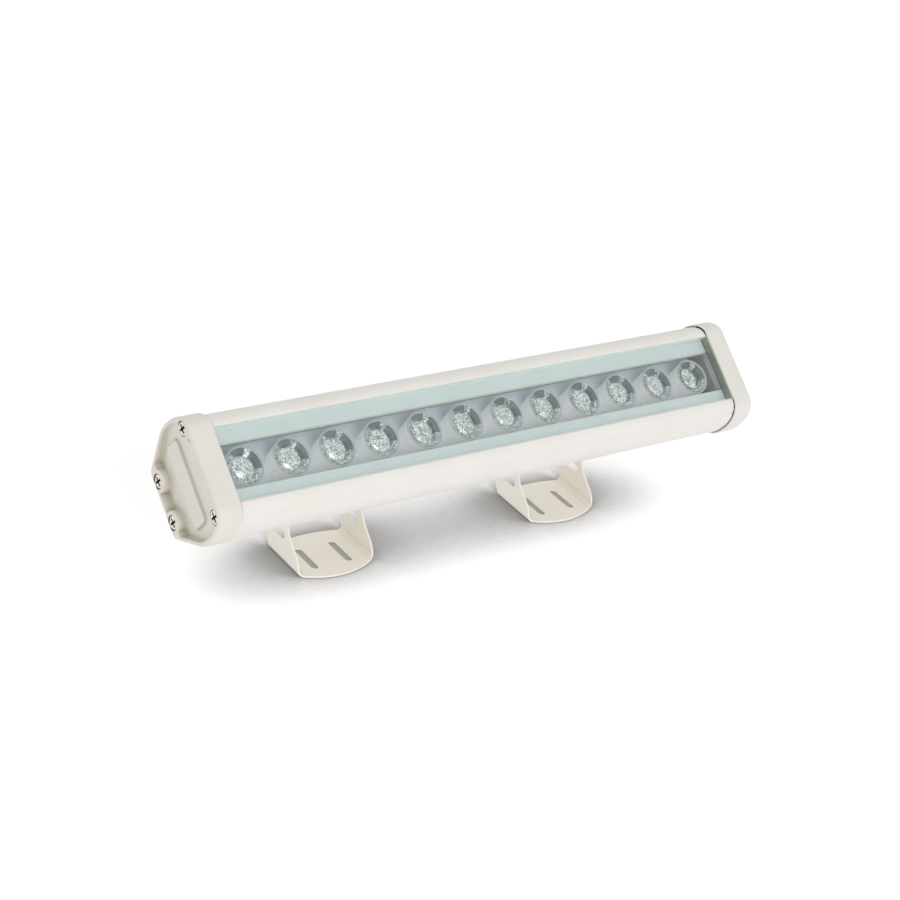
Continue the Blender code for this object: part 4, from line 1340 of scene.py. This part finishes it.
        # A screw's seat is painted dark as shade round its head.
        seats = (math.hypot(y - a, z - b) for a, b in SECTION.screws())
        if x < self.thickness - 0.25 and min(seats) < self.head_radius + 0.32:
            return 1
        # The bare pad's flanks are painted darker as shade.
        half, back, front = self.pad
        out = self.pad_draft + 0.1
        near = abs(y) < half + out and back - out < z < front + out
        flank = 0.05 < x - self.floor(z) < self.pad_height - 0.1 and abs(normal.x) < 0.9
        return 2 if self.side is Side.LEFT and near and flank else 0

    def build(self, screw: Mesh) -> None:
        """Make the cap, its gasket's edge and its screws, and dress the gasket.

        Args:
            screw: The screw's mesh, which all eight share.
        """
        word = self.side.word
        coat = CAP_COAT if self.side is Side.LEFT else RIGHT_CAP_COAT
        cap = indexed(carved(self.blank(), self.cuts()), self.finish_at)
        Place(self.matrix(), Body.LAMP, "end_cap").put(
            f"{word}_cap", cap, [coat, SCREW_SEAT_SHADE, CAP_PAD_FLANK_SHADE], f"{word}_end_cap")
        dress_node(f"{word}_cap_gasket", BLACK_RUBBER)
        rings = [SECTION.grown(self.bead), SECTION.grown(-self.bead_inset)]
        bead = prism("bead", rings, -self.joint, -0.02)
        # Across the glass the joint is filled with sealant.
        indexed(bead, lambda at, _: abs(at.y) < SECTION.lip_inner and at.z > -self.sealant_depth)
        Place(self.matrix(), Body.LAMP, "black_rubber").put(
            f"{word}_gasket_bead", bead, [BLACK_RUBBER, SEALANT])
        for number, place in enumerate(SECTION.screws(), 1):
            Place(self.matrix(place), Body.LAMP, "cap_screw").put(
                f"{word}_screw_{number}", screw, [STAINLESS, SCREW_CROSS_SHADE],
                f"{word}_cap_screw_{number}")


@dataclass(frozen=True)
class CapScrew:
    """A countersunk M4 screw with a cross recess, drawn about the cap's x axis."""

    seat_start: float = 9.8
    top: float = 11.85
    length: float = 14.0
    shank_radius: float = 1.6
    head_radius: float = 3.3
    cone: float = 1.3
    cross_span: float = 4.1
    cross_width: float = 1.1
    cross_depth: float = 1.2

    def cross(self) -> Mesh:
        """What the cross recess takes out: four tapering wings with round corners between."""
        long, wide = self.cross_span / 2, self.cross_width / 2
        outline = []
        for quarter in range(4):
            cosine, sine = math.cos(math.pi / 2 * quarter), math.sin(math.pi / 2 * quarter)
            for y, z in ((long, -wide), (long, wide), (wide, wide)):
                outline.append((y * cosine - z * sine, y * sine + z * cosine))
        line = softened(outline, 0.22, 3)
        steps = ((-self.cross_depth, 0.5), (-0.12, 0.96), (0.05, 1.08), (1, 1.2))
        return loft("cross", [layer(self.top + x, scaled(line, scale)) for x, scale in steps])

    def finish_at(self, place: Vector, normal: Vector) -> int:
        """1 inside the cross recess, which is painted dark as shade, else 0."""
        deep = self.top - self.cross_depth - 0.1 < place.x < self.top - 0.05
        return deep and math.hypot(place.y, place.z) < 0.55 * self.cross_span

    def mesh(self) -> Mesh:
        """The screw, with its cross recess painted dark as shade in the second material."""
        neck = self.seat_start + 0.3
        rim, end, shank = neck + self.cone, neck - self.length, self.shank_radius
        start, edge = rim + 0.24, self.head_radius - 0.08
        stations = [
            (end, 0.6 * shank), (end + shank, shank), (neck, shank), (rim, self.head_radius),
            (rim + 0.16, self.head_radius), (start, edge)]
        for step in range(1, 9):
            turn = step / 9 * math.pi / 2
            stations.append((start + (self.top - start) * math.sin(turn), edge * math.cos(turn)))
        blank = turned("cap_screw", stations, 64)
        return indexed(carved(blank, [(CUT, self.cross())]), self.finish_at)


@dataclass(frozen=True)
class CableGland:
    """The cable inlet on the right cap: body, domed nut and rubber seal."""

    seat: float = 10.8
    gap: float = 0.3
    thread_radius: float = 6.0
    spigot_wall: float = 5.4
    flats: float = 14.0
    crown_height: float = 0.6
    collar: float = 3.6
    reach: float = 15.0
    spigot: float = 4.0
    start: float = 2.0
    bore: float = 3.2
    dome: float = 3.4
    crown: float = 1.0

    def body(self) -> Mesh:
        """The body: thread into the cap, hexagon collar and spigot."""
        low, flat, radius = self.seat + self.gap, self.flats / 2, self.thread_radius
        high = low + self.collar
        end = high + self.spigot
        corners = ((0, flat), (self.crown_height, 1e9))
        return turned("gland_body", [
            (self.start, radius - 0.4), (self.start + 0.4, radius), (low, radius),
            *hexagon(low, high, flat, corners, False, True),
            (high, self.spigot_wall), (end, self.spigot_wall), (end, self.bore),
            (self.start, self.bore)], 96, ring=True)

    def nut(self) -> Mesh:
        """The clamping nut: a hexagon that runs out into a dome with a round mouth."""
        start = self.seat + self.gap + self.collar + self.gap
        end, flat, dome = self.seat + self.reach, self.flats / 2, self.dome
        wall = self.spigot_wall + self.gap
        stations = [(start, flat, 6, flat), (start + 0.5, flat, 6), (end - dome, flat, 6),
                    (end - 0.8 * dome, flat, 6, flat)]
        for step in range(1, 9):
            turn = math.radians(90 * step / 8)
            stations.append((end - 0.8 * dome * (1 - math.sin(turn)),
                             flat - 0.62 * dome * (1 - math.cos(turn)) - 0.02 * step))
        stations += [(end, self.bore + 0.4), (end - 0.4, self.bore),
                     (end - self.crown, self.bore), (end - self.crown, wall), (start, wall)]
        return turned("gland_nut", stations, 96, ring=True)

    def build(self, cap: EndCap) -> None:
        """Make the gland on its cap.

        Args:
            cap: The cap that carries it.
        """
        place = Place(cap.matrix(cap.gland_place), Body.LAMP, "gland")
        place.put("gland_collar", self.body(), [NYLON], "gland_body")
        place.put("gland_dome_nut", self.nut(), [NYLON], "gland_nut")
        dress_node("gland_seal", BLACK_RUBBER)


# ---- Brackets -------------------------------------------------------------------------------


class SheetSection(NamedTuple):
    """A cut across bent sheet: its two faces in x and z, and its front and back edges in y."""

    outer: Point
    inner: Point
    front: float
    back: float

    def moved(self, mirror: int, along: float, rise: float) -> "SheetSection":
        """The section on the same or, with -1, on the other side, moved in y and z."""
        outer, inner = ((mirror * x, z + rise) for x, z in (self.outer, self.inner))
        return SheetSection(outer, inner, self.front + along, self.back + along)

    def loop(self, radius: float, steps: int = 3) -> Loop:
        """The cut's outline with its four corners rounded.

        Args:
            radius: The corners' radius.
            steps: The pieces of each corner.

        Returns:
            The loop, from the outer front corner round to the inner front one.
        """
        thickness, width = math.dist(self.outer, self.inner), self.back - self.front
        outer, inner = self.outer, self.inner
        loop = []
        for across, along in rounded_block(thickness, width, min(radius, 0.4 * width), steps):
            share = 0.5 + across / thickness
            x = inner[0] + (outer[0] - inner[0]) * share
            z = inner[1] + (outer[1] - inner[1]) * share
            loop.append((x, (self.front + self.back) / 2 + along, z))
        return loop


def folded_sheet(name: str, half: Sequence[SheetSection], radius: float) -> Mesh:
    """A bent sheet from its right half, from the end of its arm to its middle."""
    left = [section.moved(-1, 0, 0) for section in reversed(half)]
    return loft(name, [section.loop(radius) for section in [*half, *left]])


def punch(outline: Outline, axis: str, faces: Point, flare: float = 0.18) -> Mesh:
    """What a punched hole takes out of a sheet, with a small break on both edges.

    Args:
        outline: The hole's outline, in the sheet's plane.
        axis: "x" or "z", the way through the sheet.
        faces: The sheet's faces on that axis, in any order.
        flare: The width of the broken edges.

    Returns:
        The cutter.
    """
    low, high = sorted(faces)
    levels = ((low - 1, flare), (low, flare), (low + flare, 0), (high - flare, 0),
              (high, flare), (high + 1, flare))
    area = sum(a[0] * b[1] - b[0] * a[1] for a, b in zip(outline, outline[1:] + outline[:1]))
    loops = []
    for level, out in levels:
        shape = grown_outline(outline, out if area < 0 else -out)
        loops.append([(level, a, b) if axis == "x" else (a, b, level) for a, b in shape])
    return loft("punch", loops)


@dataclass(frozen=True)
class HexBolt:
    """An M5 hexagon bolt with its nut, drawn along x with the head at the low end."""

    radius: float = 2.5
    flats: float = 8.0
    head: float = 3.5
    nut_height: float = 4.0
    pitch: float = 0.8
    depth: float = 0.42
    gap: float = 0.3
    count: int = 48

    def crowned(self, low: float, high: float, at_low: bool) -> list[tuple]:
        """The hexagon, its corners turned off at 30 degrees at the high face or at both.

        Args:
            low: Where it starts.
            high: Where it ends.
            at_low: Whether the low face is turned too.

        Returns:
            Its stations.
        """
        flat = self.flats / 2
        corner, land = flat / math.cos(math.pi / 6), 0.95 * flat
        rise = (corner - land) * math.tan(math.radians(30))
        crown = [(rise * s, land + (corner - land) * s) for s in (0.0, 0.35, 0.7, 1.0)]
        return hexagon(low, high, flat, crown, at_low, True)

    def bolt(self, face: float, thread: float, end: float) -> Mesh:
        """The bolt.

        Args:
            face: Where the head's bearing face is.
            thread: Where the thread starts.
            end: Where the bolt ends.

        Returns:
            The mesh.
        """
        radius, flat = self.radius, self.flats / 2
        head = self.crowned(face - self.head, face, True)[:4] + [(face, flat, 6)]
        loops = turned_loops(head + [(face, radius), (thread, radius)], self.count)
        loops += threaded(thread + 0.2, end - 0.5, radius, self.pitch, self.depth, self.count)
        loops += turned_loops([(end, radius - 0.5)], self.count)
        return loft("hex_bolt", loops)

    def nut(self, start: float) -> Mesh:
        """The nut, from start outward."""
        end, hole = start + self.nut_height, self.radius + self.gap
        return turned("hex_nut", [
            *self.crowned(start, end, True), (end, hole + 0.3), (end - 0.3, hole),
            (start + 0.3, hole), (start, hole + 0.3)], self.count, ring=True)


@dataclass(frozen=True)
class Bracket:
    """One bracket: the base with its pivot bolt, and the saddle with its T-slot bolt."""

    side: Side
    sheet: float = 1.0
    saddle_sheet: float = 1.5
    edge: float = 0.25
    half_width: float = 22.0
    bend: float = 3.0
    pivot_height: float = 32.3
    behind: float = 16.2
    back: float = 18.1
    back_corner: float = 16.0
    front: float = 16.9
    front_corner: float = 12.3
    end_radius: float = 9.5
    arm_foot: Point = (-10.4, 16.3)
    front_curve: tuple[Point, ...] = ((-7.0, 13.0), (5.5, 10.0))
    back_curve: tuple[Point, ...] = ((20.9, 6.2),)
    foot_slot_x: float = 9.8
    foot_slot: Point = (17.6, 4.0)
    arm_slot: Point = (10.8, 4.0)
    arm_slot_place: Point = (10.2, 13.1)
    saddle_half: float = 20.6
    saddle_depth: float = 8.0
    plate_outer: float = 15.5
    hole: float = 2.8
    slot_roof: float = 22.1
    thread_run: float = 6.0
    bolt_end: float = 2.0

    def arm_edge(self, height: float, side: int, curve: Sequence[Point]) -> float:
        """An edge of an arm: a Bezier curve up from the bend, and then the round end.

        Args:
            height: The height above the floor.
            side: -1 for the front edge and 1 for the back one.
            curve: The curve's inner control points, in y and height.

        Returns:
            The edge's y, from the middle of the foot's slots.
        """
        if height >= self.pivot_height:
            rise = height - self.pivot_height
            return self.behind + side * math.sqrt(max(0.0, self.end_radius**2 - rise**2))
        foot = (self.arm_foot[side > 0], self.bend)
        end = (self.behind + side * self.end_radius, self.pivot_height)
        points = [Vector(point) for point in (foot, *curve, end)]
        low, high = 0.0, 1.0
        for _ in range(26):
            share = (low + high) / 2
            line = points
            while len(line) > 1:
                line = [a.lerp(b, share) for a, b in zip(line, line[1:])]
            low, high = (share, high) if line[0].y < height else (low, share)
        return line[0].x

    def foot_edge(self, x: float, middle: float, corner: float) -> float:
        """A bowed edge of the foot, which is an arc through its corners.

        Args:
            x: The place along the edge.
            middle: How far the edge is from the slots' middle at its own middle.
            corner: How far it is at its corners.

        Returns:
            How far it is at x.
        """
        bow, half = middle - corner, self.half_width - self.bend
        radius = (half**2 + bow**2) / (2 * bow)
        return middle - radius + math.sqrt(max(0.0, radius**2 - x**2))

    def bend_sections(
        self, half_width: float, centre: float, sheet: float, up: int, fronts: Point, backs: Point
    ) -> list[SheetSection]:
        """The sections of one bend, from the arm to the flat.

        Args:
            half_width: Where the arm's outer face is.
            centre: The height of the bend's centre.
            sheet: The sheet's thickness.
            up: 1 when the flat lies above the arm, -1 when below.
            fronts: The sheet's front edge where the bend starts and where it ends.
            backs: Its back edge at both.

        Returns:
            The sections.
        """
        x, inner = half_width - self.bend, self.bend - sheet
        sections = []
        for step in range(11):
            share = step / 10
            across = math.cos(math.radians(90 * share))
            rise = up * math.sin(math.radians(90 * share))
            sections.append(SheetSection(
                (x + self.bend * across, centre + self.bend * rise),
                (x + inner * across, centre + inner * rise),
                fronts[0] + (fronts[1] - fronts[0]) * share,
                backs[0] + (backs[1] - backs[0]) * share))
        return sections

    def base(self) -> Mesh:
        """The base bracket, drawn about the pivot: arms, bends, slotted foot."""
        outside, inside = self.half_width, self.half_width - self.sheet
        top, rise = self.pivot_height + self.end_radius, self.pivot_height - self.bend
        turns = [math.radians(6 + 4 * step) for step in range(22)]
        heights = [top - self.end_radius * (1 - math.cos(turn)) for turn in turns]
        heights += [self.bend + rise * (1 - step / 24) for step in range(1, 24)]
        half = [
            SheetSection((outside, z), (inside, z), self.arm_edge(z, -1, self.front_curve),
                         self.arm_edge(z, 1, self.back_curve))
            for z in heights]
        half += self.bend_sections(
            outside, self.bend, self.sheet, -1,
            (self.arm_foot[0], -self.front_corner), (self.arm_foot[1], self.back_corner))
        for step in range(1, 14):
            x = (outside - self.bend) * (1 - step / 13.5)
            half.append(SheetSection(
                (x, 0), (x, self.sheet), -self.foot_edge(x, self.front, self.front_corner),
                self.foot_edge(x, self.back, self.back_corner)))
        drawn = [section.moved(1, -self.behind, -self.pivot_height) for section in half]
        floor = -self.pivot_height
        y, z = self.arm_slot_place[0] - self.behind, self.arm_slot_place[1] - self.pivot_height
        arm_slot = shifted(slot_outline(self.arm_slot, along_first=True), y, z)
        foot_slot = slot_outline(self.foot_slot, along_first=False)
        cuts = []
        for sign in (-1, 1):
            slot = shifted(foot_slot, sign * self.foot_slot_x, -self.behind)
            walls = (sign * outside, sign * inside)
            cuts += [(CUT, punch(slot, "z", (floor, floor + self.sheet))),
                     (CUT, punch(arm_slot, "x", walls)),
                     (CUT, punch(circle((0, 0), self.hole), "x", walls))]
        return carved(folded_sheet("base_bracket", drawn, self.edge), cuts)

    def saddle(self) -> Mesh:
        """The saddle: a plate behind the profile and two round-ended legs."""
        outside, inside = self.saddle_half, self.saddle_half - self.saddle_sheet
        depth, plate = self.saddle_depth, self.plate_outer
        half = []
        for step in range(20):
            turn = math.radians(84 - 4.4 * step)
            z, wide = -depth * math.sin(turn), depth * math.cos(turn)
            half.append(SheetSection((outside, z), (inside, z), -wide, wide))
        half += self.bend_sections(
            outside, plate - self.bend, self.saddle_sheet, 1, (-depth, -depth), (depth, depth))
        hole = circle((0, 0), self.hole)
        cuts = [(CUT, punch(hole, "x", (sign * outside, sign * inside))) for sign in (-1, 1)]
        cuts.append((CUT, punch(hole, "z", (plate - self.saddle_sheet, plate))))
        return carved(folded_sheet("saddle", half, self.edge), cuts)

    def build(self, fastener: HexBolt) -> None:
        """Make both parts of the bracket and their fasteners.

        Args:
            fastener: The bolt and nut that both joints use.
        """
        word, gap = self.side.word, fastener.gap
        past_nut = fastener.nut_height + self.bolt_end
        foot, carrier = Body(f"{word}_foot"), Body(f"{word}_carrier")
        upright, leaning = STANCE.foot(self.side), STANCE.saddle(self.side)
        Place(upright, foot, "bracket").put(
            f"{word}_base", self.base(), [BRACKET_COAT], f"{word}_base_bracket")
        face = self.half_width + gap
        pivot = Place(upright, foot, "zinc_fastener")
        bolt = fastener.bolt(-face, face - self.thread_run, face + past_nut)
        pivot.put(f"{word}_pivot_hex_bolt", bolt, [ZINC], f"{word}_pivot_bolt")
        pivot.put(f"{word}_pivot_hex_nut", fastener.nut(face), [ZINC], f"{word}_pivot_nut")

        Place(leaning, carrier, "bracket").put(
            f"{word}_saddle_plate", self.saddle(), [BRACKET_COAT], f"{word}_saddle")
        rail = Place(leaning @ Matrix.Rotation(math.pi / 2, 4, "Y"), carrier, "zinc_fastener")
        face = -(self.slot_roof - gap - fastener.head)
        start = -(self.plate_outer - self.saddle_sheet - gap)
        bolt = fastener.bolt(face, start - self.bolt_end, start + past_nut)
        rail.put(f"{word}_rail_hex_bolt", bolt, [ZINC], f"{word}_rail_bolt")
        rail.put(f"{word}_rail_hex_nut", fastener.nut(start), [ZINC], f"{word}_rail_nut")


# ---- Studio ---------------------------------------------------------------------------------


@dataclass(frozen=True)
class Lamp:
    """A square softbox that points at the object; its sizes are in metres and watts."""

    name: str
    place: tuple[float, float, float]
    size: float
    power: float

    def build(self) -> None:
        """Hang the lamp."""
        light = bpy.data.lights.new(self.name, "AREA")
        light.shape, light.size, light.energy = "SQUARE", self.size, self.power
        thing = set_down(self.name, light)
        thing.location = self.place
        thing.rotation_euler = (-Vector(self.place)).to_track_quat("-Z", "Y").to_euler()


@dataclass(frozen=True)
class Camera:
    """The camera, where a fit to the photograph puts it."""

    focal: float = 84.71
    sensor: float = 36.0
    yaw: float = 43.36
    pitch: float = 29.48
    roll: float = 13.19
    place: tuple[float, float, float] = (-629.95, -648.36, 556.12)

    def build(self) -> None:
        """Set the camera up."""
        lens = bpy.data.cameras.new("camera")
        lens.sensor_width, lens.lens = self.sensor, self.focal
        yaw, pitch, roll = (math.radians(a) for a in (self.yaw, self.pitch, self.roll))
        flat = math.cos(pitch)
        ahead = Vector((math.sin(yaw) * flat, math.cos(yaw) * flat, -math.sin(pitch)))
        right = ahead.cross(Vector((0, 0, 1))).normalized()
        up = right.cross(ahead)
        across = right * math.cos(roll) + up * math.sin(roll)
        upward = up * math.cos(roll) - right * math.sin(roll)
        matrix = Matrix((across, upward, -ahead)).transposed().to_4x4()
        matrix.translation = Vector(self.place) * MM
        thing = set_down("camera", lens)
        thing.matrix_world = matrix
        bpy.context.scene.camera = thing


@dataclass(frozen=True)
class Studio:
    """The pale floor, the white surroundings, the lamp and the camera; reaches in metres."""

    floor_half: float = 4.0
    world_light: float = 0.74
    floor_glow: float = 0.15
    floor_lift: float = 0.25
    # The floor's painted shadow: the occlusion's leaning normal, reach, span and darkest share,
    # then the same for the painted contact shadow.
    shade_lean: tuple[float, float, float] = (0.0, -0.287, 0.958)
    shade_reach: float = 0.25
    shade_span: Point = (0.46, 0.71)
    deepest_shade: float = 0.35
    touch_reach: float = 0.01
    touch_shade: float = 0.48
    lamp: Lamp = Lamp("key", (-0.5, -2.0, 1.25), 1.2, 15.7)

    def seen(self, tree: Tree) -> Node:
        """A node that gives 1 for what the camera sees itself or in metal and glass."""
        path = add_node(tree, "ShaderNodeLightPath").outputs
        two = reckoned(tree, "MAXIMUM", path["Is Camera Ray"], path["Is Glossy Ray"])
        return reckoned(tree, "MAXIMUM", two, path["Is Transmission Ray"])

    def shade(self, tree: Tree) -> Node:
        """A node that gives 1, and less where the object stands over the floor or close to it: the
        painted shadow and contact shadow.

        Args:
            tree: The floor's node tree.

        Returns:
            The node.
        """
        lean = add_node(tree, "ShaderNodeCombineXYZ", dict(enumerate(self.shade_lean)))
        sky = add_node(tree, "ShaderNodeAmbientOcclusion", {
            "Distance": self.shade_reach, "samples": 32, "Normal": lean})
        wide = ranged(tree, sky.outputs["AO"], *self.shade_span, self.deepest_shade, 1.0)
        wide.interpolation_type = "SMOOTHSTEP"
        near = add_node(tree, "ShaderNodeAmbientOcclusion", {
            "Distance": self.touch_reach, "samples": 4})
        touch = ranged(tree, near.outputs["AO"], 0.0, 1.0, self.touch_shade, 1.0)
        return reckoned(tree, "MULTIPLY", wide, touch)

    def floor(self) -> None:
        """A plain white sweep; the object's shadow on it is partly real and partly painted from
        ambient occlusion.
        """
        mesh = bpy.data.meshes.new("floor")
        far = self.floor_half
        mesh.from_pydata(
            [(-far, -far, 0), (far, -far, 0), (far, far, 0), (-far, far, 0)], [], [(0, 1, 2, 3)])
        paint = bpy.data.materials.new("studio_floor")
        paint.use_nodes = True
        tree = paint.node_tree
        tree.nodes.clear()
        shade = self.shade(tree)
        # The floor's colour and lift darken with the painted shadow.
        white = add_node(tree, "ShaderNodeBsdfDiffuse", {"Color": shade})
        amount = reckoned(tree, "MULTIPLY", shade, self.floor_lift)
        lift = add_node(tree, "ShaderNodeEmission", {"Strength": amount})
        matt = add_node(tree, "ShaderNodeBsdfDiffuse", {"Color": linear("#F2F2F2")})
        glow = add_node(tree, "ShaderNodeEmission", {"Strength": self.floor_glow})
        both = mixed(tree, self.seen(tree), added(tree, matt, glow), added(tree, white, lift))
        add_node(tree, "ShaderNodeOutputMaterial", {"Surface": both})
        mesh.materials.append(paint)
        set_down("floor", mesh)

    def world(self) -> None:
        """White surroundings that light the object at a plain level."""
        world = bpy.data.worlds.new("studio")
        world.use_nodes = True
        bpy.context.scene.world = world
        tree = world.node_tree
        back = tree.nodes["Background"]
        feed(back, "Color", linear("#FFFFFF"))
        feed(back, "Strength", ranged(tree, self.seen(tree), 0.0, 1.0, self.world_light, 1.0))

    def build(self) -> None:
        """Set up the studio."""
        self.floor()
        self.world()
        self.lamp.build()
        Camera().build()
        bpy.context.scene.view_settings.view_transform = "Standard"


def main() -> None:
    """Build the light and its studio."""
    logging.basicConfig(level=logging.INFO, format="%(name)s %(message)s")
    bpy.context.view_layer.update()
    Studio().build()
    Housing().build()
    GlassFront().build()
    LightEngine().build()
    Driver().build()
    screw = CapScrew().mesh()
    for side in Side:
        EndCap(side).build(screw)
    CableGland().build(EndCap(Side.RIGHT))
    for side in Side:
        Bracket(side).build(HexBolt())


if __name__ == "__main__":
    main()
